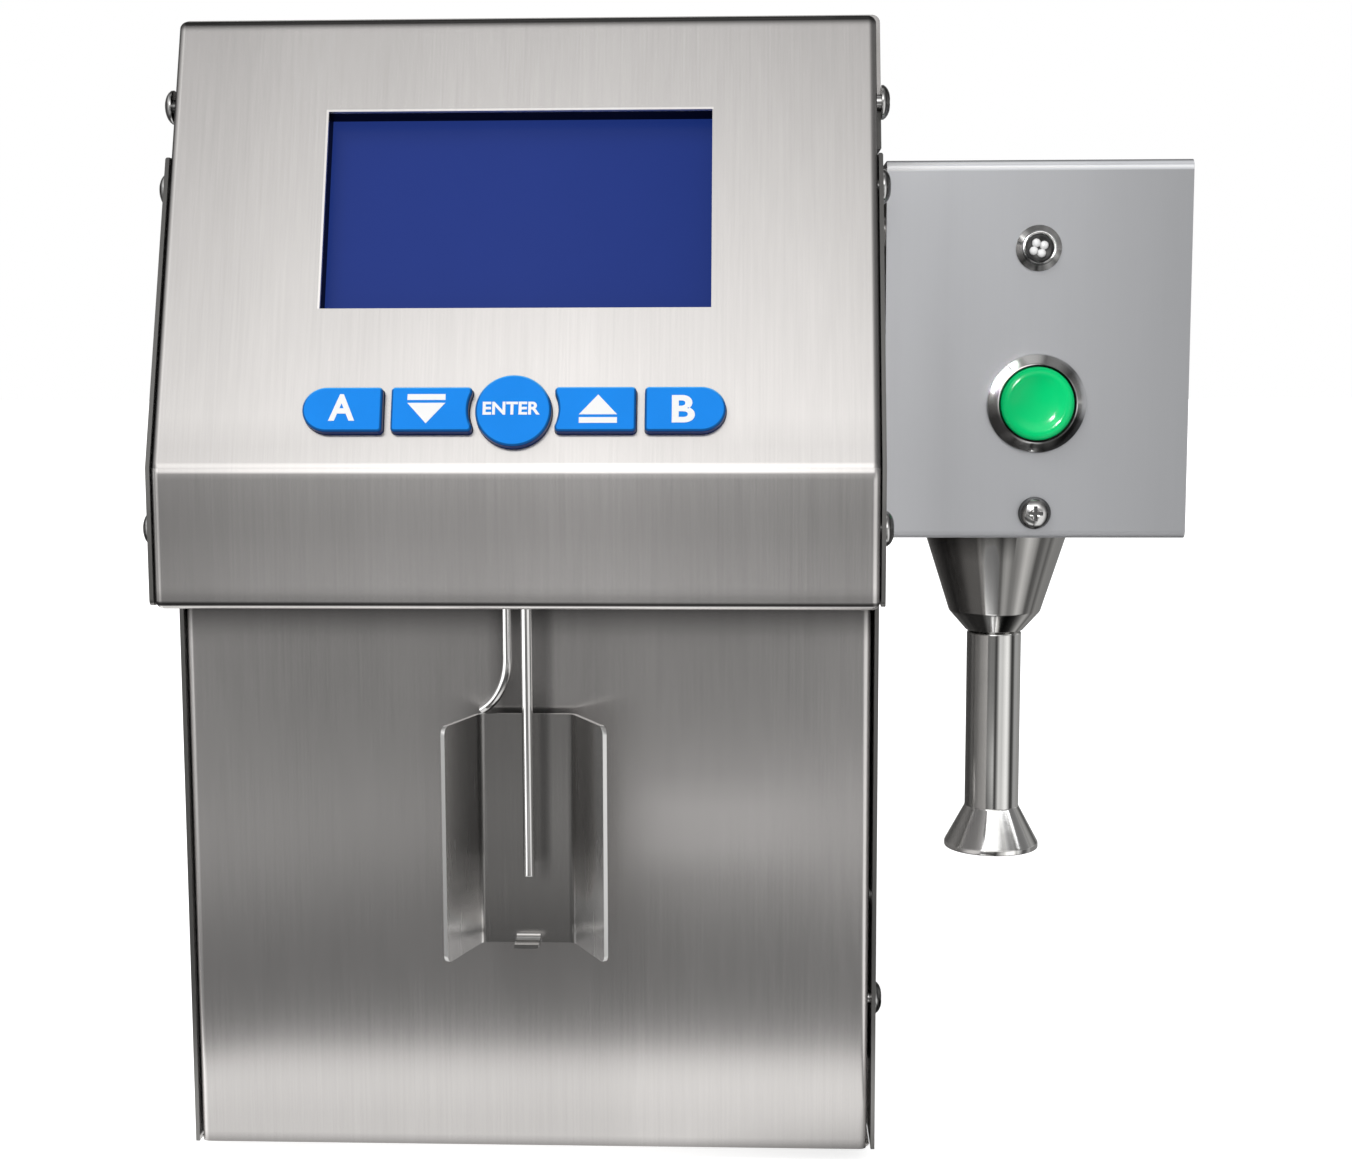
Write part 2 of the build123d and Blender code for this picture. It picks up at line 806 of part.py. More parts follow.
# Keys: cap through the sheet, flange behind it, stem into its switch
stem_end = board_depth - switch_floor - key_travel - stem_gap
for name in key_names:
    with BuildPart() as key:
        with BuildSketch(slope.offset(-key_stack - key_flange_thickness)):
            with Locations((0, key_up_slope)):
                add(key_outline(name, 0))
        extrude(amount=key_stack + key_flange_thickness + key_rise)
        rim = key.faces().sort_by(Axis(slope.origin, slope.z_dir))[-1].edges()
        fillet(rim, radius=key_edge)
        with BuildSketch(slope.offset(-key_stack)):
            with Locations((0, key_up_slope)):
                add(key_outline(name, key_flange))
        extrude(amount=-key_flange_thickness)
        with BuildSketch(slope.offset(-key_stack)):
            with Locations((key_centre(name), key_up_slope)):
                Circle(stem_radius)
        extrude(amount=-(stem_end - key_stack))
    key.part.label = f"key_{name}"
    export_step(key.part, f"parts/key_{name}.step")

# Sample tube: straight, hangs in the middle of the holder
with BuildPart() as sample_tube:
    with BuildSketch(level(fascia_foot - sample_tube_drop)):
        with Locations((sample_tube_x, sample_tube_y)):
            Circle(sample_tube_radius)
            Circle(sample_tube_bore, mode=Mode.SUBTRACT)
    extrude(amount=tube_top - fascia_foot + sample_tube_drop)
sample_tube.part.label = "sample_tube"
export_step(sample_tube.part, "parts/sample_tube.step")

# Outlet tube: bends to the left and back, behind the holder's top edge
outlet_top = spot(outlet_tube_x, outlet_tube_y, tube_top)
outlet_corner = spot(outlet_tube_x, outlet_tube_y, outlet_bend_height)
outlet_end = outlet_corner + Vector(-outlet_left, outlet_back, -outlet_drop)
with BuildPart() as outlet_tube:
    with BuildLine():
        route = FilletPolyline(outlet_top, outlet_corner, outlet_end, radius=outlet_bend_radius)
    with BuildSketch(Plane(origin=route @ 0, z_dir=route % 0)):
        Circle(outlet_tube_radius)
        Circle(outlet_tube_bore, mode=Mode.SUBTRACT)
    sweep()
outlet_tube.part.label = "outlet_tube"
export_step(outlet_tube.part, "parts/outlet_tube.step")


def turn_grommet(x, depth, tube_radius):
    """Ring with a waist in the sheet of the cover's underside."""
    with BuildPart() as grommet:
        with BuildSketch(upright(x, depth)):
            with Locations((0, fascia_foot - grommet_flange)):
                Rectangle(
                    grommet_flange_radius, sheet + 2 * grommet_flange, align=(Align.MIN, Align.MIN)
                )
                Rectangle(
                    tube_radius + hole_gap,
                    sheet + 2 * grommet_flange,
                    align=(Align.MIN, Align.MIN),
                    mode=Mode.SUBTRACT,
                )
            with Locations((grommet_waist_radius, fascia_foot)):
                Rectangle(overrun, sheet, align=(Align.MIN, Align.MIN), mode=Mode.SUBTRACT)
        revolve(axis=Axis(spot(x, depth, 0), (0, 0, 1)))
    return grommet.part


sample_grommet = turn_grommet(sample_tube_x, sample_tube_y, sample_tube_radius)
outlet_grommet = turn_grommet(outlet_tube_x, outlet_tube_y, outlet_tube_radius)
with BuildPart() as tube_grommets:
    add(sample_grommet)
    add(outlet_grommet)
tube_grommets.part.label = "tube_grommets"
export_step(tube_grommets.part, "parts/tube_grommets.step")

# Sample holder: back plate, two wings bent forward, tongue bent out of the foot
holder_face = -holder_gap - sheet
half_holder = holder_width / 2
with BuildPart() as sample_holder:
    with BuildSketch(level(holder_foot)):
        with BuildLine():
            FilletPolyline(
                (holder_x - half_holder - holder_spread_left, holder_face - holder_reach),
                (holder_x - half_holder, holder_face),
                (holder_x + half_holder, holder_face),
                (holder_x + half_holder + holder_spread_right, holder_face - holder_reach + holder_wing_trim),
                radius=bend,
            )
            offset(amount=sheet, side=Side.LEFT)
        make_face()
    extrude(amount=holder_height)
    rim_edges = sample_holder.edges().filter_by(Axis.Z, reverse=True)
    wing_edges = rim_edges.sort_by(Axis.X)[:2] + rim_edges.sort_by(Axis.X)[-2:]
    fillet(wing_edges, radius=holder_corner)
    with BuildSketch(facing(holder_face)):
        with Locations((holder_x, holder_foot)):
            notch = Rectangle(tongue_width + 2 * tongue_slot, 2 * tongue_rise)
            fillet(notch.vertices(), radius=tongue_corner)
    extrude(amount=-sheet, mode=Mode.SUBTRACT)
    with BuildSketch(side(holder_x - tongue_width / 2)):
        with BuildLine():
            FilletPolyline(
                (holder_face + sheet, holder_foot + tongue_rise + sheet),
                (holder_face + sheet, holder_foot),
                (holder_face - tongue_reach, holder_foot),
                radius=tongue_rise,
            )
            offset(amount=sheet, side=Side.RIGHT)
        make_face()
    extrude(amount=tongue_width)
sample_holder.part.label = "sample_holder"
export_step(sample_holder.part, "parts/sample_holder.step")


def turn_stud(height):
    """Stud welded behind the holder: collar in the gap, shank through the panel, nut inside."""
    with BuildPart() as stud:
        with BuildSketch(turned(holder_x, height)):
            with Locations((0, -holder_gap)):
                Rectangle(stud_collar_radius, holder_gap, align=(Align.MIN, Align.MIN))
            Rectangle(stud_radius, sheet + stud_tail, align=(Align.MIN, Align.MIN))
            with Locations((0, sheet)):
                Rectangle(stud_head_radius, stud_nut, align=(Align.MIN, Align.MIN))
        revolve(axis=Axis(spot(holder_x, 0, height), (0, 1, 0)))
    return stud.part


holder_stud_list = [turn_stud(holder_foot + stud_height) for stud_height in stud_heights]
with BuildPart() as holder_studs:
    add(holder_stud_list)
holder_studs.part.label = "holder_studs"
export_step(holder_studs.part, "parts/holder_studs.step")

# Measuring cell with a transducer at each end, on an angle bracket
cell_front = cell_y - cell_size / 2
cell_back = cell_y + cell_size / 2
low_port = cell_foot + port_inset
high_port = cell_foot + cell_height - port_inset
with BuildPart() as sensor_cell:
    with BuildSketch(level(cell_foot)):
        with Locations((cell_x, cell_y)):
            Rectangle(cell_size, cell_size)
    extrude(amount=cell_height)
    chamfer(sensor_cell.edges().filter_by(Axis.Z), length=cell_chamfer)
    with BuildSketch(level(cell_foot + transducer_height)):
        with Locations((cell_x, cell_y)):
            Circle(cell_bore)
    extrude(amount=cell_height - 2 * transducer_height, mode=Mode.SUBTRACT)
    with BuildSketch(facing(cell_front)):
        with Locations((cell_x, low_port), (cell_x, high_port)):
            Circle(port_radius)
    extrude(amount=port_length)
sensor_cell.part.label = "sensor_cell"
export_step(sensor_cell.part, "parts/sensor_cell.step")

with BuildPart() as sensor_transducers:
    for end_height in (cell_foot - transducer_height, cell_foot + cell_height):
        with BuildSketch(level(end_height)):
            with Locations((cell_x, cell_y)):
                Circle(transducer_radius)
        extrude(amount=transducer_height)
sensor_transducers.part.label = "sensor_transducers"
export_step(sensor_transducers.part, "parts/sensor_transducers.step")


def fold_bracket(x, depth, width, height, hole_radius, hole_height):
    """Angle bracket on the tray's floor: upright in front of its foot, one hole in the upright."""
    with BuildPart() as bracket:
        with BuildSketch(side(x - width / 2)):
            with BuildLine():
                FilletPolyline(
                    (depth, height),
                    (depth, sheet),
                    (depth + bracket_foot, sheet),
                    radius=2 * bracket_sheet,
                )
                offset(amount=bracket_sheet, side=Side.LEFT)
            make_face()
        extrude(amount=width)
        if hole_radius > 0:
            with BuildSketch(facing(depth)):
                with Locations((x, hole_height)):
                    Circle(hole_radius)
            extrude(amount=-bracket_foot, mode=Mode.SUBTRACT)
    return bracket.part


sensor_bracket = fold_bracket(cell_x, cell_back, cell_size, cell_bracket_height, 0, 0)
sensor_bracket.label = "sensor_bracket"
export_step(sensor_bracket, "parts/sensor_bracket.step")

# Pump: bracket, motor behind it, housing in front with the tube, rotor and rollers
boss_hole = boss_radius + hole_gap
pump_bracket = fold_bracket(pump_x, pump_y, pump_bracket_width, pump_bracket_height, boss_hole, pump_height)
pump_bracket.label = "pump_bracket"
export_step(pump_bracket, "parts/pump_bracket.step")

tube_ring = roller_ring + roller_radius + track_gap + hose_radius
track_radius = tube_ring + hose_radius + lap_gap
housing_radius = track_radius + pump_wall
pump_axis = Axis(spot(pump_x, 0, pump_height), (0, 1, 0))
pump_front = pump_y - pump_depth
cavity_back = pump_y - pump_back
with BuildPart() as pump_housing:
    with BuildSketch(facing(pump_y)):
        with Locations((pump_x, pump_height)):
            Circle(housing_radius)
            Rectangle(2 * housing_radius, housing_radius, align=(Align.CENTER, Align.MIN))
    extrude(amount=pump_depth)
    with BuildSketch(facing(cavity_back)):
        with Locations((pump_x, pump_height)):
            Circle(track_radius)
            Rectangle(2 * track_radius, housing_radius + overrun, align=(Align.CENTER, Align.MIN))
    extrude(amount=pump_depth, mode=Mode.SUBTRACT)
    with BuildSketch(facing(pump_y)):
        with Locations((pump_x, pump_height)):
            Circle(boss_hole)
    extrude(amount=pump_back, mode=Mode.SUBTRACT)
pump_housing.part.label = "pump_housing"
export_step(pump_housing.part, "parts/pump_housing.step")

with BuildPart() as pump_cover:
    with BuildSketch(facing(pump_front)):
        with Locations((pump_x, pump_height)):
            Circle(housing_radius)
            Rectangle(2 * housing_radius, housing_radius, align=(Align.CENTER, Align.MIN))
    extrude(amount=pump_cover_thickness)
pump_cover.part.label = "pump_cover"
export_step(pump_cover.part, "parts/pump_cover.step")

boss_front = pump_y - pump_back
gearbox_front = pump_y + bracket_sheet
motor_front = gearbox_front + gearbox_length
with BuildPart() as pump_motor:
    with BuildSketch(turned(pump_x, pump_height)):
        with Locations((0, boss_front)):
            Rectangle(boss_radius, pump_back + bracket_sheet, align=(Align.MIN, Align.MIN))
        with Locations((0, gearbox_front)):
            Rectangle(gearbox_radius, gearbox_length, align=(Align.MIN, Align.MIN))
        with Locations((0, motor_front)):
            Rectangle(motor_radius, motor_length, align=(Align.MIN, Align.MIN))
        with Locations((0, motor_front + motor_length)):
            Rectangle(boss_radius / 2, pump_back, align=(Align.MIN, Align.MIN))
        with Locations((0, boss_front)):
            Rectangle(
                shaft_radius + hole_gap, gearbox_length, align=(Align.MIN, Align.MIN), mode=Mode.SUBTRACT
            )
    revolve(axis=pump_axis)
pump_motor.part.label = "pump_motor"
export_step(pump_motor.part, "parts/pump_motor.step")

# Rotor: shaft, hub and two discs with a pin for each roller between them
rear_disc_back = cavity_back - rotor_gap
rear_disc_front = rear_disc_back - rotor_disc
roller_length = pump_depth - pump_back - 2 * rotor_disc - 4 * rotor_gap
front_disc_back = rear_disc_front - roller_length - 2 * rotor_gap
front_disc_front = front_disc_back - rotor_disc
with BuildPart() as pump_rotor:
    with BuildSketch(turned(pump_x, pump_height)):
        with Locations((0, front_disc_front)):
            Rectangle(rotor_radius, rotor_disc, align=(Align.MIN, Align.MIN))
            Rectangle(shaft_radius, gearbox_front - front_disc_front + gearbox_length / 2, align=(Align.MIN, Align.MIN))
        with Locations((0, front_disc_back)):
            Rectangle(rotor_hub_radius, rear_disc_front - front_disc_back, align=(Align.MIN, Align.MIN))
        with Locations((0, rear_disc_front)):
            Rectangle(rotor_radius, rotor_disc, align=(Align.MIN, Align.MIN))
    revolve(axis=pump_axis)
    with BuildSketch(facing(rear_disc_front)):
        with Locations((pump_x, pump_height)):
            with PolarLocations(roller_ring, roller_count):
                Circle(pin_radius)
    extrude(amount=rear_disc_front - front_disc_back)
pump_rotor.part.label = "pump_rotor"
export_step(pump_rotor.part, "parts/pump_rotor.step")

for index in range(roller_count):
    turn = radians(360 / roller_count * index)
    roller_x = pump_x + roller_ring * cos(turn)
    roller_height = pump_height + roller_ring * sin(turn)
    with BuildPart() as roller:
        with BuildSketch(facing(rear_disc_front - rotor_gap)):
            with Locations((roller_x, roller_height)):
                Circle(roller_radius)
                Circle(pin_radius + hole_gap, mode=Mode.SUBTRACT)
        extrude(amount=roller_length)
    roller.part.label = f"pump_roller_{index + 1}"
    export_step(roller.part, f"parts/pump_roller_{index + 1}.step")


def run_hose(points, corner_radii):
    """Round hose of straight runs and tangent arcs, with its bore."""
    with BuildPart() as hose:
        with BuildLine():
            path = FilletPolyline(*points, radius=corner_radii)
        with BuildSketch(Plane(origin=path @ 0, z_dir=path % 0)):
            Circle(hose_radius)
            Circle(hose_bore, mode=Mode.SUBTRACT)
        sweep()
    return hose.part


# Intake hose: from the sample tube back over the panel to the measuring cell's low port
hose_low = tube_top - hose_lap
hose_run = tube_top + hose_lap
hose_front = cell_front - port_length - hose_bend - lap_gap
intake_front = hose_front - 5 / 2 * hose_radius
intake_points = [
    spot(sample_tube_x, sample_tube_y, hose_low),
    spot(sample_tube_x, sample_tube_y, hose_run),
    spot(cell_x / 2, intake_front / 2, hose_run),
    spot(cell_x, intake_front, hose_run - 2 * hose_lap),
    spot(cell_x, intake_front, low_port),
    spot(cell_x, cell_front - port_length + port_lap, low_port),
]
intake_hose = run_hose(intake_points, [hose_bend_small, hose_bend, hose_bend, hose_bend])
intake_hose.label = "intake_hose"
export_step(intake_hose, "parts/intake_hose.step")

# Pump tube: from the cell's high port round the rollers and on to the outlet tube
tube_depth = (rear_disc_front + front_disc_back) / 2
leg_top = pump_height + 2 * housing_radius
right_leg = pump_x + tube_ring
left_leg = pump_x - tube_ring
with BuildPart() as pump_tube:
    with BuildLine() as tube_route:
        feed = FilletPolyline(
            spot(cell_x, cell_front - port_length + port_lap, high_port),
            spot(cell_x, hose_front, high_port),
            spot(right_leg, hose_front, leg_top),
            spot(right_leg, tube_depth, leg_top),
            spot(right_leg, tube_depth, pump_height),
            radius=[hose_bend, hose_bend, hose_bend],
        )
        loop = ThreePointArc(
            feed @ 1,
            spot(pump_x, tube_depth, pump_height - tube_ring),
            spot(left_leg, tube_depth, pump_height),
        )
        back = FilletPolyline(
            loop @ 1,
            spot(left_leg, tube_depth, leg_top),
            spot(left_leg, hose_front, hose_run),
            spot(outlet_tube_x, outlet_tube_y, hose_run),
            spot(outlet_tube_x, outlet_tube_y, hose_low),
            radius=[hose_bend, hose_bend, hose_bend_small],
        )
    with BuildSketch(Plane(origin=feed @ 0, z_dir=feed % 0)):
        Circle(hose_radius)
        Circle(hose_bore, mode=Mode.SUBTRACT)
    sweep()
pump_tube.part.label = "pump_tube"
export_step(pump_tube.part, "parts/pump_tube.step")

# Main board on standoffs over the tray, with its larger components
with BuildPart() as main_board:
    with BuildSketch(level(main_board_height)):
        with Locations((0, main_board_front + main_board_length / 2)):
            Rectangle(main_board_width, main_board_length)
    extrude(amount=board_thickness)
main_board.part.label = "main_board"
export_step(main_board.part, "parts/main_board.step")

component_shares = [(-0.25, 0.3, 0.2, 0.22, 3.0), (0.1, 0.35, 0.14, 0.2, 2.4), (0.33, 0.3, 0.12, 0.3, 9.0)]
component_shares += [(-0.3, 0.72, 0.16, 0.14, 6.0), (0.05, 0.75, 0.3, 0.1, 4.0)]
component_unit = board_thickness / 1.6
with BuildPart() as main_board_parts:
    for x_share, y_share, width_share, length_share, rise in component_shares:
        with BuildSketch(level(main_board_height + board_thickness)):
            with Locations((x_share * main_board_width, main_board_front + y_share * main_board_length)):
                Rectangle(width_share * main_board_width, length_share * main_board_length)
        extrude(amount=rise * component_unit)
main_board_parts.part.label = "main_board_parts"
export_step(main_board_parts.part, "parts/main_board_parts.step")

# Data port on the rear panel: flange, tapered shell round an insert, two jack screws
with BuildPart() as data_port:
    with BuildSketch(facing(case_depth)):
        with Locations((port_x, connector_height)):
            Rectangle(port_flange_width, port_flange_height)
            Rectangle(port_shell_width, port_shell_height, mode=Mode.SUBTRACT)
            with GridLocations(port_screw_spacing, port_screw_spacing, 2, 1):
                Circle(screw_shank_radius + hole_gap, mode=Mode.SUBTRACT)
    extrude(amount=-port_flange_sheet)
    with BuildSketch(facing(case_depth + port_shell_reach)):
        with Locations((port_x, connector_height)):
            shell = Trapezoid(port_shell_width, port_shell_height, 80)
            fillet(shell.vertices(), radius=bend)
    extrude(amount=port_shell_reach + port_body_depth)
    with BuildSketch(facing(case_depth + port_shell_reach)) as port_well:
        with Locations((port_x, connector_height)):
            inner = Trapezoid(
                port_shell_width - 2 * port_shell_wall, port_shell_height - 2 * port_shell_wall, 80
            )
            fillet(inner.vertices(), radius=bend - port_shell_wall)
    extrude(amount=port_shell_reach - port_insert_drop, mode=Mode.SUBTRACT)
    with BuildSketch(facing(case_depth + port_flange_sheet)):
        with Locations((port_x, connector_height)):
            with GridLocations(port_screw_spacing, port_screw_spacing, 2, 1):
                RegularPolygon(port_screw_radius, 6)
    extrude(amount=-port_screw_length)
data_port.part.label = "data_port"
export_step(data_port.part, "parts/data_port.step")

# Round power inlet: flanged socket with a ring of pins
with BuildPart() as power_inlet:
    with BuildSketch(turned(inlet_x, connector_height)):
        with Locations((0, case_depth - inlet_depth)):
            Rectangle(inlet_radius, inlet_depth, align=(Align.MIN, Align.MIN))
        with Locations((0, case_depth)):
            Rectangle(inlet_flange_radius, inlet_reach, align=(Align.MIN, Align.MIN))
        with Locations((0, case_depth + inlet_reach - inlet_socket_depth)):
            Rectangle(inlet_bore, inlet_socket_depth, align=(Align.MIN, Align.MIN), mode=Mode.SUBTRACT)
    revolve(axis=Axis(spot(inlet_x, 0, connector_height), (0, 1, 0)))
    with BuildSketch(facing(case_depth + inlet_reach - inlet_socket_depth)):
        with Locations((inlet_x, connector_height)):
            with PolarLocations(inlet_pin_ring, inlet_pin_count, start_angle=45):
                Circle(inlet_pin_radius)
    extrude(amount=-(inlet_socket_depth - inlet_reach))
power_inlet.part.label = "power_inlet"
export_step(power_inlet.part, "parts/power_inlet.step")

# Power switch: flanged housing with a rocker that tilts on a crosswise axis
with BuildPart() as power_switch_housing:
    with BuildSketch(facing(case_depth)):
        with Locations((switch_x, connector_height)):
            Rectangle(switch_flange_width, switch_flange_height)
    extrude(amount=-switch_flange_sheet)
    with BuildSketch(facing(case_depth)):
        with Locations((switch_x, connector_height)):
            Rectangle(switch_body_width, switch_body_height)
    extrude(amount=switch_body_depth)
    with BuildSketch(facing(case_depth + switch_flange_sheet)):
        with Locations((switch_x, connector_height)):
            Rectangle(switch_well_width, switch_well_height)
    extrude(amount=switch_well_depth, mode=Mode.SUBTRACT)
power_switch_housing.part.label = "power_switch_housing"
export_step(power_switch_housing.part, "parts/power_switch_housing.step")

rocker_axis = spot(switch_x, case_depth + switch_flange_sheet - rocker_axis_depth, connector_height)
rocker_width = switch_well_width - 2 * rocker_side_gap
rocker_plane = Plane(
    origin=rocker_axis - Vector(rocker_width / 2, 0, 0),
    x_dir=(0, cos(radians(rocker_tilt)), sin(radians(rocker_tilt))),
    z_dir=(1, 0, 0),
)
with BuildPart() as power_switch_rocker:
    with BuildSketch(rocker_plane):
        with BuildLine():
            Polyline((0, -rocker_half_height), (rocker_front, -rocker_half_height))
            ThreePointArc(
                (rocker_front, -rocker_half_height),
                (rocker_front - bend / 2, 0),
                (rocker_front, rocker_half_height),
            )
            Polyline((rocker_front, rocker_half_height), (0, rocker_half_height), (0, -rocker_half_height))
        make_face()
        Circle(rocker_drum_radius)
    extrude(amount=rocker_width)
power_switch_rocker.part.label = "power_switch_rocker"
export_step(power_switch_rocker.part, "parts/power_switch_rocker.step")

# Stirrer box: cover bent over front, top and back, with a short lip under the front
with BuildPart() as stirrer_cover:
    with BuildSketch(side(box_left)):
        with BuildLine():
            FilletPolyline(
                (box_front + box_lip, box_foot),
                (box_front, box_foot),
                (box_front, box_top),
                (box_back, box_top),
                (box_back, box_foot),
                radius=bend,
            )
            offset(amount=sheet, side=Side.RIGHT)
        make_face()
    extrude(amount=box_width)
    with BuildSketch(facing(box_front)):
        with Locations((box_mid, box_foot + lamp_up)):
            Circle(lamp_body_radius + hole_gap)
        with Locations((box_mid, box_foot + button_up)):
            Circle(barrel_radius + hole_gap)
        with Locations((box_mid, box_foot + face_screw_up)):
            Circle(screw_shank_radius + hole_gap)
    extrude(amount=-2 * sheet, mode=Mode.SUBTRACT)
stirrer_cover.part.label = "stirrer_cover"
export_step(stirrer_cover.part, "parts/stirrer_cover.step")

# Frame of the box: left wall, floor and right wall, with a screw tab behind the face
frame_floor = box_foot + sheet + lap_gap
frame_front = box_front + sheet + lap_gap
frame_length = box_depth - 2 * (sheet + lap_gap)
frame_top = box_top - sheet - lap_gap
with BuildPart() as stirrer_frame:
    with BuildSketch(facing(frame_front + frame_length)):
        with BuildLine():
            FilletPolyline(
                (box_left, frame_top),
                (box_left, frame_floor),
                (box_left + box_width, frame_floor),
                (box_left + box_width, frame_top),
                radius=bend,
            )
            offset(amount=sheet, side=Side.LEFT)
        make_face()
    extrude(amount=frame_length)
    with BuildSketch(facing(frame_front)):
        with Locations((box_mid, frame_floor)):
            Rectangle(box_tab_width, box_tab_height, align=(Align.CENTER, Align.MIN))
        with Locations((box_mid, box_foot + face_screw_up)):
            Circle(screw_shank_radius + hole_gap, mode=Mode.SUBTRACT)
    extrude(amount=-sheet)
    with BuildSketch(side(box_left)) as frame_outline:
        with Locations((frame_front + frame_length / 2, (frame_floor + frame_top) / 2)):
            Rectangle(frame_length, frame_top - frame_floor)
        fillet(frame_outline.vertices(), radius=bend - sheet - lap_gap)
    extrude(amount=box_width, mode=Mode.INTERSECT)
    with BuildSketch(level(frame_floor)):
        with Locations((horn_x, horn_y)):
            Circle(horn_top_radius + lap_gap)
    extrude(amount=2 * sheet, both=True, mode=Mode.SUBTRACT)
    with BuildSketch(side(box_left)):
        with Locations(*box_screw_places):
            Circle(screw_shank_radius + hole_gap)
    extrude(amount=2 * sheet, mode=Mode.SUBTRACT)
stirrer_frame.part.label = "stirrer_frame"
export_step(stirrer_frame.part, "parts/stirrer_frame.step")

# Spacers and screws that hold the box off the side plate
with BuildPart() as stirrer_spacers:
    with BuildSketch(side(case_width / 2)):
        with Locations(*box_screw_places):
            Circle(spacer_radius)
            Circle(screw_shank_radius + hole_gap, mode=Mode.SUBTRACT)
    extrude(amount=box_gap)
stirrer_spacers.part.label = "stirrer_spacers"
export_step(stirrer_spacers.part, "parts/stirrer_spacers.step")

mount_screw = turn_screw(screw_head_radius, screw_head_height, screw_shank_radius, mount_screw_length)
with BuildPart() as stirrer_mount_screws:
    with Locations(*[
        Plane(origin=spot(box_left + sheet, depth, height), z_dir=(1, 0, 0))
        for depth, height in box_screw_places
    ]):
        add(mount_screw)
    with BuildSketch(side(case_width / 2 - sheet)):
        with Locations(*box_screw_places):
            RegularPolygon(mount_nut_radius, 6)
    extrude(amount=-mount_nut_height)
stirrer_mount_screws.part.label = "stirrer_mount_screws"
export_step(stirrer_mount_screws.part, "parts/stirrer_mount_screws.step")

with BuildPart() as stirrer_screw:
    with Locations(Plane(origin=spot(box_mid, box_front, box_foot + face_screw_up), z_dir=(0, -1, 0))):
        add(side_screw)
stirrer_screw.part.label = "stirrer_screw"
export_step(stirrer_screw.part, "parts/stirrer_screw.step")

# Push button: polished sloped bezel on a barrel, domed cap, nut behind the face
button_height = box_foot + button_up
button_axis = Axis(spot(box_mid, 0, button_height), (0, 1, 0))
cap_hole = button_radius + button_gap
barrel_end = box_front + barrel_length
with BuildPart() as button_bezel:
    with BuildSketch(turned(box_mid, button_height)):
        with BuildLine():
            Polyline(
                (barrel_radius, box_front),
                (bezel_radius, box_front),
                (bezel_radius, box_front - bezel_rim),
                (bezel_lip_radius + hole_gap, box_front - bezel_rise),
                (cap_hole, box_front - bezel_rise),
                (cap_hole, box_front + barrel_step),
                (button_stem_radius + button_gap, box_front + barrel_step),
                (button_stem_radius + button_gap, barrel_end - sheet),
                (0, barrel_end - sheet),
                (0, barrel_end),
                (barrel_radius, barrel_end),
                close=True,
            )
        make_face()
    revolve(axis=button_axis)
button_bezel.part.label = "button_bezel"
export_step(button_bezel.part, "parts/button_bezel.step")

rim_y = box_front - bezel_rise + button_edge_drop
crown_y = box_front - bezel_rise - button_crown
dome_rise = rim_y - crown_y
dome_radius = (button_radius**2 + dome_rise**2) / (2 * dome_rise)
with BuildPart() as button_cap:
    with BuildSketch(turned(box_mid, button_height)):
        with BuildLine():
            RadiusArc((button_radius, rim_y), (0, crown_y), dome_radius)
            Polyline(
                (0, crown_y),
                (0, box_front + button_stem_depth),
                (button_stem_radius, box_front + button_stem_depth),
                (button_stem_radius, box_front + button_skirt),
                (button_radius, box_front + button_skirt),
                (button_radius, rim_y),
            )
        make_face()
    revolve(axis=button_axis)
button_cap.part.label = "button_cap"
export_step(button_cap.part, "parts/button_cap.step")

with BuildPart() as button_nut:
    with BuildSketch(facing(box_front + sheet)):
        with Locations((box_mid, button_height)):
            RegularPolygon(button_nut_radius, 6)
            Circle(barrel_radius + hole_gap, mode=Mode.SUBTRACT)
    extrude(amount=-button_nut_height)
button_nut.part.label = "button_nut"
export_step(button_nut.part, "parts/button_nut.step")

# Indicator lamp: bright ring and body, clear faceted lens
lamp_height = box_foot + lamp_up
lamp_axis = Axis(spot(box_mid, 0, lamp_height), (0, 1, 0))
lens_back = box_front + lamp_lens_back
with BuildPart() as led_bezel:
    with BuildSketch(turned(box_mid, lamp_height)):
        with BuildLine():
            Polyline(
                (0, lens_back),
                (lamp_lens_radius + hole_gap, lens_back),
                (lamp_lens_radius + hole_gap, box_front - lamp_bezel_rise / 2),
                (lamp_lens_radius + lamp_bezel_rise / 2, box_front - lamp_bezel_rise),
                (lamp_bezel_radius - lamp_bezel_rise / 2, box_front - lamp_bezel_rise),
                (lamp_bezel_radius, box_front - lamp_bezel_rise / 2),
                (lamp_bezel_radius, box_front),
                (lamp_body_radius, box_front),
                (lamp_body_radius, box_front + lamp_body_length),
                (0, box_front + lamp_body_length),
                close=True,
            )
        make_face()
    revolve(axis=lamp_axis)
led_bezel.part.label = "led_bezel"
export_step(led_bezel.part, "parts/led_bezel.step")

with BuildPart() as led_lens:
    with BuildSketch(facing(lens_back)):
        with Locations((box_mid, lamp_height)):
            Circle(lamp_lens_radius)
    extrude(amount=lamp_lens_back)
    with BuildSketch(facing(box_front)):
        with Locations((box_mid, lamp_height)):
            RegularPolygon(lamp_lens_radius, lamp_facets)
    extrude(amount=lamp_lens_rise, taper=30)
led_lens.part.label = "led_lens"
export_step(led_lens.part, "parts/led_lens.step")

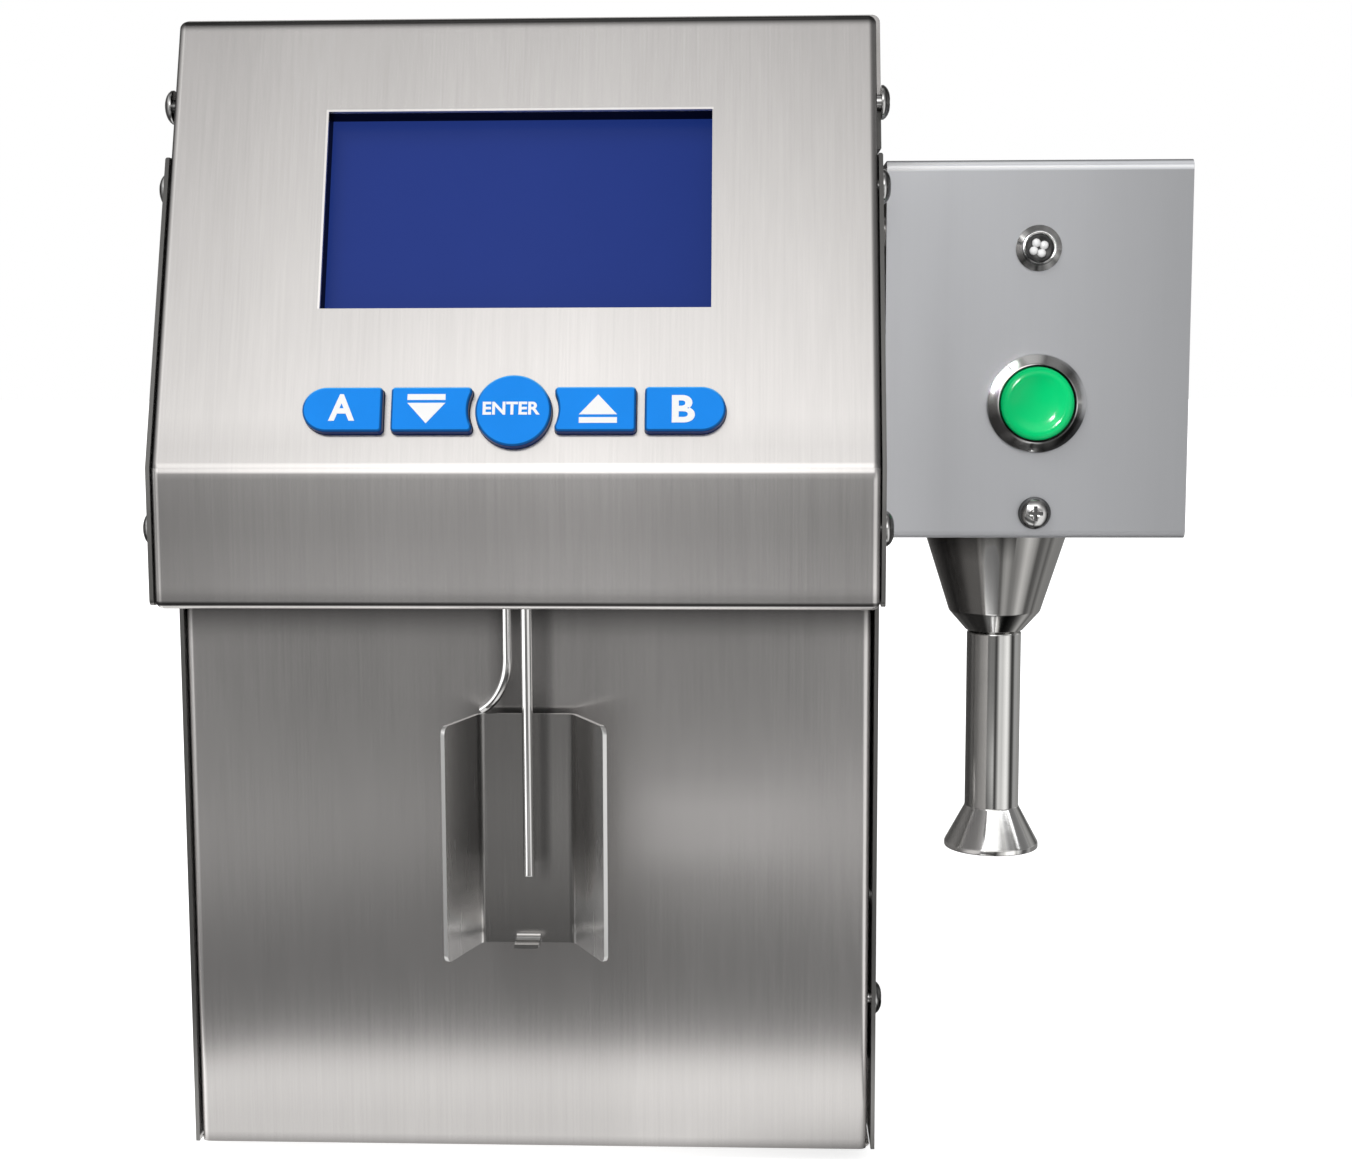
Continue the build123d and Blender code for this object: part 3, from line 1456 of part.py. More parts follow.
# Stirrer horn: flanged cone through the floor of the box, and a rod with a flared foot
horn_axis = Axis(spot(horn_x, horn_y, 0), (0, 0, 1))
flange_foot = frame_floor + sheet
stack_foot = box_foot + horn_stack_height
with BuildPart() as horn_cone:
    with BuildSketch(upright(horn_x, horn_y)):
        with BuildLine():
            Polyline(
                (bolt_radius + hole_gap, stack_foot),
                (horn_stack_radius, stack_foot),
                (horn_stack_radius, flange_foot + horn_flange),
                (horn_flange_radius, flange_foot + horn_flange),
                (horn_flange_radius, flange_foot),
                (horn_top_radius, flange_foot),
                (horn_top_radius, box_foot - horn_below),
                (waist_radius, box_foot - waist_drop),
                (neck_radius, box_foot - neck_drop),
                (stud_thread_radius + hole_gap, box_foot - neck_drop),
                (stud_thread_radius + hole_gap, box_foot - neck_drop + stud_thread_length + hole_gap),
                (0, box_foot - neck_drop + stud_thread_length + hole_gap),
                (0, box_foot - horn_below),
                (bolt_radius + hole_gap, box_foot - horn_below),
                close=True,
            )
        make_face()
    revolve(axis=horn_axis)
horn_cone.part.label = "horn_cone"
export_step(horn_cone.part, "parts/horn_cone.step")

with BuildPart() as horn_rod:
    with BuildSketch(upright(horn_x, horn_y)):
        with BuildLine():
            Polyline(
                (0, box_foot - neck_drop + stud_thread_length),
                (stud_thread_radius, box_foot - neck_drop + stud_thread_length),
                (stud_thread_radius, box_foot - neck_drop),
                (joint_radius, box_foot - neck_drop),
                (joint_radius, box_foot - neck_drop - joint_gap),
                (rod_radius, box_foot - neck_drop - 2 * joint_gap),
                (rod_radius, box_foot - flare_drop),
                (rim_radius, box_foot - rim_drop),
                (rim_radius, box_foot - rim_drop - rim_height),
                (0, box_foot - rim_drop - rim_height),
                close=True,
            )
        make_face()
    revolve(axis=horn_axis)
horn_rod.part.label = "horn_rod"
export_step(horn_rod.part, "parts/horn_rod.step")

# Ceramic rings clamped between the horn and the back mass
mass_foot = stack_foot + ring_count * ring_height
mass_top = mass_foot + back_mass_height
with BuildPart() as piezo_rings:
    with BuildSketch(level(stack_foot)):
        with Locations((horn_x, horn_y)):
            Circle(horn_stack_radius)
            Circle(ring_bore, mode=Mode.SUBTRACT)
    extrude(amount=mass_foot - stack_foot)
piezo_rings.part.label = "piezo_rings"
export_step(piezo_rings.part, "parts/piezo_rings.step")

with BuildPart() as back_mass:
    with BuildSketch(level(mass_foot)):
        with Locations((horn_x, horn_y)):
            Circle(horn_stack_radius)
            Circle(bolt_radius + hole_gap, mode=Mode.SUBTRACT)
    extrude(amount=back_mass_height)
    chamfer(back_mass.edges().group_by(Axis.Z)[-1].sort_by(SortBy.LENGTH)[-1], length=bend)
back_mass.part.label = "back_mass"
export_step(back_mass.part, "parts/back_mass.step")

with BuildPart() as clamp_bolt:
    with BuildSketch(level(box_foot)):
        with Locations((horn_x, horn_y)):
            Circle(bolt_radius)
    extrude(amount=mass_top - box_foot)
    with BuildSketch(level(mass_top)):
        with Locations((horn_x, horn_y)):
            Circle(bolt_head_radius)
    extrude(amount=bolt_head_height)
    with BuildSketch(level(mass_top + bolt_head_height)):
        with Locations((horn_x, horn_y)):
            RegularPolygon(bolt_socket_radius, 6)
    extrude(amount=-bolt_socket_depth, mode=Mode.SUBTRACT)
clamp_bolt.part.label = "clamp_bolt"
export_step(clamp_bolt.part, "parts/clamp_bolt.step")

# Driver board on the right wall of the box
driver_x = box_left + box_width - sheet - driver_stand - board_thickness
driver_mid = (box_front + driver_board_back + driver_board_length / 2, box_foot + driver_board_up + driver_board_height / 2)
with BuildPart() as driver_board:
    with BuildSketch(side(driver_x)):
        with Locations(driver_mid):
            Rectangle(driver_board_length, driver_board_height)
    extrude(amount=board_thickness)
    with BuildSketch(side(driver_x + board_thickness)):
        with Locations(driver_mid):
            with GridLocations(
                driver_board_length - 2 * standoff_inset, driver_board_height - 2 * standoff_inset, 2, 2
            ):
                Circle(standoff_radius)
    extrude(amount=driver_stand)
driver_board.part.label = "driver_board"
export_step(driver_board.part, "parts/driver_board.step")
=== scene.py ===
import json
from collections import namedtuple
from math import cos, pi, radians, sin, tan

import bmesh
import bpy
from mathutils import Matrix, Vector


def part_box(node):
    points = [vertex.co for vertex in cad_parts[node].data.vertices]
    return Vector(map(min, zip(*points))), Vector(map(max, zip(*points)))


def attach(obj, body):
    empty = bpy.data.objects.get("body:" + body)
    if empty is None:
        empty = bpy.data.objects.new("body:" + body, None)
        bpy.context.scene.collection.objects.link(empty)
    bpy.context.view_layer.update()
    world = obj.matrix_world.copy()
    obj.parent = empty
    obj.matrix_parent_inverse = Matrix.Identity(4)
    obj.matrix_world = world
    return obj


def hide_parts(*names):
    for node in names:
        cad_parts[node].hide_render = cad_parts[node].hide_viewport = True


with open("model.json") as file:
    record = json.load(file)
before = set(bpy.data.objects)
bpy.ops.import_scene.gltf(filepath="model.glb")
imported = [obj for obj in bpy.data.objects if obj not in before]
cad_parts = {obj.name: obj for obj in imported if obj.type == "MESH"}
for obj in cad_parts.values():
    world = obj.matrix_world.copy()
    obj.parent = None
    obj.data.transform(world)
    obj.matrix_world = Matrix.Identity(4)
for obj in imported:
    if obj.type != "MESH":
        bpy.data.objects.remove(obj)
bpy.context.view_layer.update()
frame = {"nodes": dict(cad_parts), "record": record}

scene = bpy.context.scene
MM = 0.001
SLOPE_LEAN = radians(18.455)
slope_out = Vector((0, -cos(SLOPE_LEAN), sin(SLOPE_LEAN)))
slope_up = Vector((0, sin(SLOPE_LEAN), cos(SLOPE_LEAN)))
UP, OUT = (0, 0, 1), (0, -1, 0)

# The case: its middle, the lower panel's face and the underside
panel_low, panel_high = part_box("lower_front_panel")
case_middle = (panel_low.x + panel_high.x) / 2
panel_face = panel_low.y
case_foot = panel_low.z


def spot(x, depth, height):
    """Point in metres from millimetres off the case's middle, panel face and underside."""
    return Vector((case_middle + x * MM, panel_face + depth * MM, case_foot + height * MM))


def middle(node):
    """Middle of a node's box."""
    low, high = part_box(node)
    return (low + high) / 2


# Camera at the photograph's viewing angle
camera_place = spot(44.744, -389.1, 160.218)
camera_yaw = radians(2.267)
camera_pitch = radians(6.615)
camera_roll = radians(-0.166)
image_width = 1352
focal_pixels = 2004.62

ahead = Vector((-sin(camera_yaw) * cos(camera_pitch), cos(camera_yaw) * cos(camera_pitch), -sin(camera_pitch)))
level_right = Vector((cos(camera_yaw), sin(camera_yaw), 0))
level_up = level_right.cross(ahead)
right = level_right * cos(camera_roll) + level_up * sin(camera_roll)
up = level_up * cos(camera_roll) - level_right * sin(camera_roll)
camera_data = bpy.data.cameras.new("photo_camera")
camera_data.sensor_width = 36
camera_data.lens = focal_pixels / image_width * camera_data.sensor_width
camera_data.clip_start = 0.01
camera = bpy.data.objects.new("photo_camera", camera_data)
camera.matrix_world = Matrix.Translation(camera_place) @ Matrix((right, up, -ahead)).transposed().to_4x4()
scene.collection.objects.link(camera)
scene.camera = camera
scene.view_settings.view_transform = "Standard"


# Node building; how fine rings, grains and clouds are, in waves per metre
RINGS, RING_CLOUDS, GRAINS, GRAIN_CLOUDS = 9000, 120, 3000, 150
Axes = namedtuple("Axes", "x y z")


def feed(node, key, value):
    """Gives one input of a node, by name or number, a socket or a plain value."""
    if isinstance(value, bpy.types.NodeSocket):
        node.id_data.links.new(value, node.inputs[key])
    else:
        node.inputs[key].default_value = value


def set_inputs(node, **values):
    """Gives a node's inputs, by name with spaces as underscores, their sockets or plain values."""
    for key, value in values.items():
        feed(node, key.replace("_", " "), value)


def add_node(tree, kind, **settings):
    """Adds a node; settings are its properties, or its inputs by name."""
    node = tree.nodes.new(kind)
    for key, value in settings.items():
        if hasattr(node, key):
            setattr(node, key, value)
        else:
            set_inputs(node, **{key: value})
    return node


def axes_of(vector):
    """The three parts of a vector socket."""
    return Axes(*add_node(vector.id_data, "ShaderNodeSeparateXYZ", Vector=vector).outputs)


def calculate(operation, first, second=0.0, third=0.0):
    """One math node on numbers and at least one socket, in that socket's tree."""
    values = (first, second, third)
    tree = next(value.id_data for value in values if isinstance(value, bpy.types.NodeSocket))
    node = add_node(tree, "ShaderNodeMath", operation=operation)
    for index, value in enumerate(values):
        feed(node, index, value)
    return node.outputs[0]


def minus(first, second):
    """Difference of sockets and numbers."""
    return calculate("SUBTRACT", first, second)


def multiply(*factors):
    """Product of sockets and numbers."""
    total = factors[0]
    for factor in factors[1:]:
        total = calculate("MULTIPLY", total, factor)
    return total


def within(value, centre, reach):
    """1 where a value lies within reach of a centre, 0 elsewhere."""
    return calculate("COMPARE", value, centre, reach)


def mix(factor, first, second):
    """Number that goes from the first to the second as a factor goes from 0 to 1."""
    return add_node(factor.id_data, "ShaderNodeMix", Factor=factor, A=first, B=second).outputs[0]


def rise(value, start, end, low=0.0, high=1.0):
    """Goes straight from low to high while a value goes from start to end, and holds beyond both."""
    return add_node(
        value.id_data, "ShaderNodeMapRange", clamp=True, Value=value, From_Min=start, From_Max=end, To_Min=low,
        To_Max=high,
    ).outputs[0]


def blend_colors(factor, first, second):
    """Mixes two colours by a factor."""
    node = add_node(factor.id_data, "ShaderNodeMix", data_type="RGBA")
    for index, value in ((0, factor), (6, first), (7, second)):
        feed(node, index, (*value, 1) if isinstance(value, tuple) else value)
    return node.outputs[2]


def grey_ramp(value, steps):
    """Grey that follows a value from 0 to 1, by pairs of (value, grey) in rising order."""
    ramp = add_node(value.id_data, "ShaderNodeValToRGB", Fac=value)
    elements = ramp.color_ramp.elements
    for index in (0, -1):
        elements[index].position = steps[index][0]
        elements[index].color = (*[steps[index][1]] * 3, 1)
    for position, grey in steps[1:-1]:
        elements.new(position).color = (grey, grey, grey, 1)
    return ramp.outputs[0]


def tone_steps(value, steps):
    """Tone that follows a value, by pairs of (value, tone) in rising order, held beyond both ends."""
    low, high = steps[0][0], steps[-1][0]
    return grey_ramp(rise(value, low, high), [((at - low) / (high - low), tone) for at, tone in steps])


def noise(place, detail, scale=1.0, **more):
    """Noise round 0.5 that follows a place."""
    return add_node(
        place.id_data, "ShaderNodeTexNoise", Vector=place, Scale=scale, Detail=detail, **more,
    ).outputs[0]


def bumped(height, strength):
    """Surface direction made uneven by a height."""
    return add_node(
        height.id_data, "ShaderNodeBump", Strength=strength, Distance=0.1 * MM, Height=height,
    ).outputs[0]


def scaled(color, factor):
    """A plain colour made darker or lighter."""
    return tuple(min(1.0, channel * factor) for channel in color)


def uneven_tone(lines, clouds, line_depth):
    """Tone round 0 from fine lines and wide clouds."""
    return calculate("ADD", multiply(minus(lines, 0.5), 2 * line_depth), multiply(minus(clouds, 0.5), 0.16))


def uneven_shade(color, tone):
    """A colour that a tone round 0 makes darker and lighter."""
    return blend_colors(calculate("ADD", 0.5, tone), scaled(color, 0.6), scaled(color, 1.4))


def apply_painted_tones(shade, painted_tones, across, facing):
    """Shade made lighter or darker by painted light and shade, a function of the place and the way the surface
    faces.
    """
    if not painted_tones:
        return shade
    tone = painted_tones(across, facing)
    return add_node(
        shade.id_data, "ShaderNodeVectorMath", operation="SCALE", Vector=shade, Scale=tone,
    ).outputs[0]


def toward_slope(facing):
    """1 where a surface looks the way the sloped face does, less the more it turns away."""
    return calculate("MULTIPLY_ADD", facing.y, slope_out.y, multiply(facing.z, slope_out.z))


def new_finish(name):
    """A node material; returns it with its tree, its shader, its place and its surface direction."""
    material = bpy.data.materials.new(name)
    material.use_nodes = True
    tree = material.node_tree
    place = add_node(tree, "ShaderNodeTexCoord")
    return material, tree, tree.nodes["Principled BSDF"], place.outputs["Object"], place.outputs["Normal"]


def brushed_finish(
    name, color, roughness, anisotropy, line_depth=0.1, grain=0.05, metallic=1.0, side_shade_factor=1.0, painted_tones=None,
    rolling=None,
):
    """Steel sheet with its brushing upright on the walls and front to back on top."""
    material, tree, shader, place, normal = new_finish(name)
    across, facing = axes_of(place), axes_of(normal)
    sideways = calculate("GREATER_THAN", calculate("ABSOLUTE", facing.x), 0.7)
    upright = minus(1.0, sideways)
    line = calculate("ADD", multiply(across.x, upright), multiply(across.y, sideways))
    run = calculate("ADD", across.z, multiply(across.y, upright))

    def drawn_noise(fine, long, detail, **more):
        """Noise drawn out along the brushing."""
        drawn = add_node(tree, "ShaderNodeCombineXYZ", X=multiply(line, fine), Y=multiply(run, long))
        return noise(drawn.outputs[0], detail, **more)

    lines = drawn_noise(2600, 22, 4.0, Roughness=0.65)
    tone = uneven_tone(lines, drawn_noise(45, 9, 3.0), line_depth)
    streaks = minus(drawn_noise(620, 55, 2.0), 0.5)
    tone = calculate("MULTIPLY_ADD", streaks, line_depth, tone)
    shade = uneven_shade(color, tone)
    # Painted shade: faces turned sideways take the colour darkened by the side factor
    if side_shade_factor < 1:
        turned_away = calculate("MINIMUM", multiply(calculate("ABSOLUTE", facing.x), 1.4), 1.0)
        shade = blend_colors(turned_away, shade, scaled(color, side_shade_factor))
    bump = bumped(lines, grain)
    if rolling:
        bump = add_node(
            tree, "ShaderNodeBump", Strength=1.0, Distance=1.0, Height=rolling(across), Normal=bump,
        ).outputs[0]
    set_inputs(
        shader, Base_Color=apply_painted_tones(shade, painted_tones, across, facing),
        Roughness=calculate("ADD", roughness, multiply(tone, 0.3)), Metallic=metallic, Anisotropic=anisotropy,
        Tangent=add_node(tree, "ShaderNodeCombineXYZ", X=upright, Y=sideways).outputs[0], Normal=bump,
    )
    return material


def turned_finish(name, color, roughness, anisotropy, axis, painted_tones=None):
    """Metal turned on a lathe: fine rings round the axis, slightly uneven tone."""
    material, tree, shader, place, normal = new_finish(name)
    across = axes_of(place)
    along = add_node(tree, "ShaderNodeCombineXYZ", X=multiply(across["XYZ".index(axis)], RINGS))
    rings = noise(along.outputs[0], 3.0)
    tone = uneven_tone(rings, noise(place, 4.0, RING_CLOUDS), 0.08)
    spindle = add_node(tree, "ShaderNodeCombineXYZ", **{axis: 1.0})
    around = add_node(tree, "ShaderNodeVectorMath", operation="CROSS_PRODUCT")
    feed(around, 0, spindle.outputs[0])
    feed(around, 1, normal)
    set_inputs(
        shader, Base_Color=apply_painted_tones(uneven_shade(color, tone), painted_tones, across, axes_of(normal)),
        Roughness=calculate("ADD", roughness, multiply(tone, 0.2)), Metallic=1.0, Anisotropic=anisotropy,
        Tangent=around.outputs[0], Normal=bumped(rings, 0.03),
    )
    return material


def moulded_finish(
    name, color, roughness, depth=0.05, variation=0.06, specular=0.5, painted_side_shade=None, painted_tones=None,
):
    """Plastic or rubber with a fine grain and slight unevenness of colour; keys get painted shade on their
    sides and painted light and shade along their rim.
    """
    material, tree, shader, place, normal = new_finish(name)
    grains = noise(place, 2.0, GRAINS)
    clouds = noise(place, 3.0, GRAIN_CLOUDS)
    shade = blend_colors(clouds, scaled(color, 1 - variation), scaled(color, 1 + variation))
    if painted_side_shade:
        # Keys: painted shade on the sides; along the rim, painted highlight where it faces up and painted shade
        # below
        facing = axes_of(normal)
        lean = toward_slope(facing)
        rim = blend_colors(rise(facing.z, 0.4, 0.75), scaled(color, 0.42), (0.06, 0.42, 0.95))
        shade = blend_colors(rise(lean, 0.9, 0.985), rim, shade)
        shade = blend_colors(rise(lean, 0.3, 0.55), painted_side_shade, shade)
    set_inputs(
        shader, Specular_IOR_Level=specular, Base_Color=apply_painted_tones(shade, painted_tones, axes_of(place), None),
        Roughness=calculate("MULTIPLY_ADD", grains, 0.1, roughness - 0.05), Normal=bumped(grains, depth),
    )
    return material


# Painted light and shade: tones that follow the bends and the shelter of the sheet parts, and painted
# reflections on the round parts
BEND_DEPTH, BEND_HEIGHT = -20.0, 138.4
HOLDER_ASIDE = 1.12
FLARE_LENGTH = 9.3
box_low, box_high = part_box("stirrer_cover")
button_middle = middle("button_bezel")
lamp_middle = middle("led_bezel")
horn_middle = middle("horn_cone")
flare_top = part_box("horn_rod")[0].z + FLARE_LENGTH * MM


def millimetres(socket, origin):
    """A coordinate socket in millimetres from a place."""
    return calculate("MULTIPLY_ADD", socket, 1 / MM, -origin / MM)


def case_place(across):
    """Millimetres to the right of the case's middle and above its underside."""
    return millimetres(across.x, case_middle), millimetres(across.z, case_foot)


# Painted highlight line along the display window: its left and upper part, each with its middle and half its
# length
WINDOW_LEFT, LEFT_WINDOW_HIGHLIGHT = -37.7, (187.1, 19.1)
WINDOW_TOP, UPPER_WINDOW_HIGHLIGHT = 206.05, (-0.6, 37.3)
WINDOW_HIGHLIGHT_HALF_WIDTH = 0.22
OPENINGS_REACH = 60.0


def cover_painted_light(across, facing):
    """Head cover, painted light and shade: dark rolled top edge, light and dark lines of its side bends,
    openings, window and lip, lighter towards the middle.
    """
    aside, height = case_place(across)
    # Painted dark reflection along the rolled top edge; the flat top keeps its own colour
    top = tone_steps(height, [
        (139.5, 0.9), (142.5, 0.9), (148, 1), (221.8, 1), (222.3, 0.9), (222.7, 0.6), (223, 0.3), (223.3, 0.12),
        (223.7, 0.06), (224.2, 0.03),
    ])
    top = calculate("MAXIMUM", top, calculate("GREATER_THAN", facing.z, 0.985))
    # Painted light above the lip, with a little shade at its foot
    shelter = tone_steps(height, [
        (113.5, 0.92), (114.3, 1), (115.2, 1.18), (116.4, 1.27), (119, 1.2), (122, 1.13), (126, 1.04),
        (130, 1.02), (133, 1.05), (136, 1.1), (137.3, 1.05), (138.4, 1),
    ])
    # Painted light and dark lines round the lip's bend
    lip = tone_steps(facing.z, [
        (-1, 1), (-0.985, 0.4), (-0.93, 1.5), (-0.7, 1.75), (-0.55, 0.7), (-0.4, 0.18), (-0.2, 0.25), (0, 1),
    ])
    # Painted light and dark lines along the side bends of the slope and of the front
    slope_sides = tone_steps(facing.x, [
        (-1, 0.3), (-0.95, 0.06), (-0.8, 0.12), (-0.6, 0.3), (-0.45, 0.5), (-0.3, 0.85), (-0.15, 1.15), (0, 1),
        (0.12, 0.92), (0.25, 0.8), (0.5, 0.6), (0.75, 0.5), (0.95, 0.35), (1, 0.6),
    ])
    front_sides = tone_steps(facing.x, [
        (-1, 0.6), (-0.9, 0.35), (-0.76, 0.6), (-0.53, 0.9), (-0.35, 1.1), (-0.24, 1.3), (-0.06, 1.4), (0, 1),
        (0.5, 1.1), (0.8, 0.9), (1, 0.6),
    ])
    # Painted light: lighter towards the middle
    spread = tone_steps(aside, [
        (-68, 0.8), (-58, 0.86), (-47, 0.98), (15, 1.22), (47, 1.12), (60, 1), (68, 0.95),
    ])
    slope_spread = tone_steps(aside, [
        (-68, 0.9), (-56, 0.94), (-43, 1.03), (-14, 1.13), (12, 1.2), (47, 1.13), (62, 1.08), (68, 1.05),
    ])
    # Painted highlight on the edges of the openings
    openings = tone_steps(toward_slope(facing), [(0.2, 1), (0.45, 1.5), (0.93, 1.5), (0.99, 1)])
    # Painted highlight line along the window's left and upper edges
    left_window_highlight = multiply(within(aside, WINDOW_LEFT, WINDOW_HIGHLIGHT_HALF_WIDTH), within(height, *LEFT_WINDOW_HIGHLIGHT))
    upper_window_highlight = multiply(within(height, WINDOW_TOP, WINDOW_HIGHLIGHT_HALF_WIDTH), within(aside, *UPPER_WINDOW_HIGHLIGHT))
    window_highlight = calculate("MULTIPLY_ADD", calculate("MAXIMUM", left_window_highlight, upper_window_highlight), 0.4, 1.0)
    inside = calculate("LESS_THAN", calculate("ABSOLUTE", aside), OPENINGS_REACH)
    front = multiply(mix(inside, front_sides, 1.0), spread, lip)
    slope = multiply(mix(inside, slope_sides, openings), slope_spread)
    return multiply(top, shelter, window_highlight, mix(calculate("GREATER_THAN", height, BEND_HEIGHT), front, slope))


def roll_cover(across):
    """Height in metres that widens the bend between slope and fascia to a soft roll."""
    reach, core = 2.2, 0.15
    off = millimetres(across.z, case_foot + BEND_HEIGHT * MM)
    off = calculate("MINIMUM", calculate("MAXIMUM", multiply(off, -1.0), 0.0), reach)
    squared = multiply(off, off)
    soft = calculate("SQRT", calculate("ADD", squared, core * core))
    return multiply(calculate("MULTIPLY_ADD", squared, -1 / (2 * reach), soft), tan(SLOPE_LEAN / 2) * MM)


TUBE_SHADE_FOOT = 65.0


def panel_painted_light(across, facing):
    """Lower panel, painted light and shade: shade under the lip and round the tubes, light side bends, glint,
    lighter towards the right, dark lower edge.
    """
    aside, height = case_place(across)
    shelter = tone_steps(height, [
        (0, 0.6), (0.5, 0.68), (1, 0.82), (1.5, 0.94), (2.2, 1.05), (3.2, 1.03), (6, 1), (102, 1), (104, 0.93),
        (105.4, 0.8), (106.8, 0.64), (107.4, 0.57), (108.3, 0.46), (108.9, 0.4), (109.3, 0.3), (110, 0.25),
    ])
    sides = tone_steps(facing.x, [
        (-1, 1), (-0.75, 1.2), (-0.5, 1.6), (-0.25, 1.4), (0, 1), (0.25, 1), (0.5, 1.1), (1, 1),
    ])
    by_tubes = tone_steps(aside, [(-8, 1), (-6, 0.75), (-4.8, 0.5), (3.4, 0.5), (4.4, 0.65), (5.6, 1)])
    by_tubes = mix(calculate("GREATER_THAN", height, TUBE_SHADE_FOOT), 1.0, by_tubes)
    spread = tone_steps(aside, [(14, 1), (24, 1.09), (42, 1.07), (68, 1.06)])
    glint = tone_steps(height, [(55, 0), (62, 1), (70, 1), (77, 0)])
    glint = multiply(glint, tone_steps(aside, [(17, 0), (27, 0.15), (44, 0.12), (60, 0)]))
    return multiply(shelter, sides, spread, calculate("ADD", glint, 1.0), by_tubes)


def holder_painted_light(across, facing):
    """Sample holder, painted light and shade: wings lighter outward and at the foot, darker bends and back
    faces of the wings, a shade beside the tube.
    """
    aside, height = case_place(across)
    aside = minus(aside, HOLDER_ASIDE)
    out = calculate("ABSOLUTE", aside)
    turned = calculate("ABSOLUTE", facing.x)
    bends = tone_steps(turned, [(0, 1), (0.05, 1), (0.12, 0.95), (0.75, 0.9), (0.9, 1)])
    outward = tone_steps(out, [
        (8.9, 0.65), (10.3, 0.65), (11.5, 0.72), (12.7, 1), (13.8, 1.4), (15, 2.2), (15.7, 2.3),
    ])
    right_side = calculate("MULTIPLY_ADD", calculate("GREATER_THAN", aside, 0.0), 1.9, 1.0)
    foot = tone_steps(height, [(43.5, 3.2), (47, 3), (50, 2.7), (53, 1.8), (56, 0.8), (60, 0.3), (66, 0)])
    wing = calculate("MULTIPLY_ADD", outward, right_side, foot)
    by_tube = tone_steps(aside, [(0.8, 0.9), (1.3, 0.75), (1.9, 0.5), (2.5, 0.45), (3.1, 0.6), (4, 1)])
    by_tube = mix(rise(height, 55, 62), 1.0, by_tube)
    wing = mix(calculate("LESS_THAN", facing.y, 0.0), 0.7, wing)
    return multiply(bends, mix(calculate("GREATER_THAN", turned, 0.7), by_tube, wing))


def box_painted_light(across, facing):
    """Stirrer box, painted light: lighter towards the case, two painted highlight lines along its top edge,
    darker at the very edge.
    """
    along = millimetres(across.x, box_low.x)
    under = millimetres(across.z, box_high.z)
    spread = tone_steps(along, [
        (0, 1.38), (3.4, 1.32), (12.3, 1.06), (30, 0.93), (42, 0.85), (55.8, 0.745), (61, 0.72),
    ])
    rim = tone_steps(under, [
        (-2.3, 1), (-1.9, 1.3), (-1.6, 1.7), (-1.35, 1.6), (-1.1, 1.05), (-0.9, 1.4), (-0.6, 1.6), (-0.4, 1),
        (-0.15, 0.35), (0, 0.2),
    ])
    rim_spread = tone_steps(along, [(0, 1.5), (3.4, 1.45), (12.3, 1.14), (42, 1), (61, 1)])
    spread = mix(calculate("GREATER_THAN", under, -2.1), spread, rim_spread)
    return mix(calculate("LESS_THAN", facing.y, -0.3), 1.0, multiply(spread, rim))


def edge_painted_shade(across, facing):
    """Cut edges of the side plates and hood: painted shade, darker where they lie back along the slope."""
    return tone_steps(facing.z, [(0, 1), (0.15, 0.45), (0.45, 0.4), (1, 0.6)])


def turned_from_camera(across):
    """0 where a surface faces the camera, 1 at its outline."""
    return add_node(across.x.id_data, "ShaderNodeLayerWeight", Blend=0.5).outputs["Facing"]


def rim_painted_shade(across, facing):
    """Painted shade: round steel parts darken towards their outline and where they turn sideways."""
    rim = tone_steps(turned_from_camera(across), [(0, 1.1), (0.3, 0.9), (0.5, 0.5), (0.75, 0.16), (1, 0.05)])
    turned = calculate("ABSOLUTE", facing.x)
    return multiply(rim, tone_steps(turned, [(0, 1), (0.3, 0.9), (0.55, 0.4), (1, 0.35)]))


def tube_painted_shade(across, facing):
    """Painted shade: thin tubes are dark only at their very outline."""
    return tone_steps(turned_from_camera(across), [(0, 1), (0.6, 0.95), (0.78, 0.5), (0.92, 0.12), (1, 0.05)])


def bearing_of(sideways, onward):
    """Bearing in degrees, 0 straight onward."""
    return multiply(calculate("ARCTAN2", sideways, onward), 180 / pi)


def round_front_axis(across, axis_place):
    """Bearing in degrees about an axis that looks to the front, 0 at its right and 90 above it."""
    sideways = minus(across.x, axis_place.x)
    return bearing_of(minus(across.z, axis_place.z), sideways)


def round_horn(across):
    """Bearing in degrees about the horn's axis, 0 in front and rising to the right."""
    sideways = minus(across.x, horn_middle.x)
    return bearing_of(sideways, minus(horn_middle.y, across.y))


def small_bezel_painted_reflection(across, facing):
    """Painted reflection: light and dark wedges round the indicator's cone."""
    return tone_steps(round_front_axis(across, lamp_middle), [
        (-180, 0.9), (-160, 0.25), (-140, 0.06), (-120, 0.3), (-100, 0.2), (-80, 0.12), (-60, 0.35), (-40, 0.3),
        (-20, 1.6), (0, 1.1), (20, 3), (40, 1.4), (60, 0.95), (80, 1), (100, 0.8), (120, 0.65), (140, 0.6),
        (160, 2.4), (180, 0.9),
    ])


def bezel_painted_reflection(across, facing):
    """Painted reflection: light and dark wedges round the button's cone."""
    return tone_steps(round_front_axis(across, button_middle), [
        (-180, 0.7), (-162, 0.14), (-140, 0.08), (-122, 0.26), (-100, 0.85), (-82, 0.12), (-60, 0.06),
        (-40, 0.05), (-22, 0.15), (-4, 1.35), (20, 1.35), (42, 0.35), (60, 0.9), (80, 1), (140, 1.25),
        (160, 1.2), (180, 0.7),
    ])


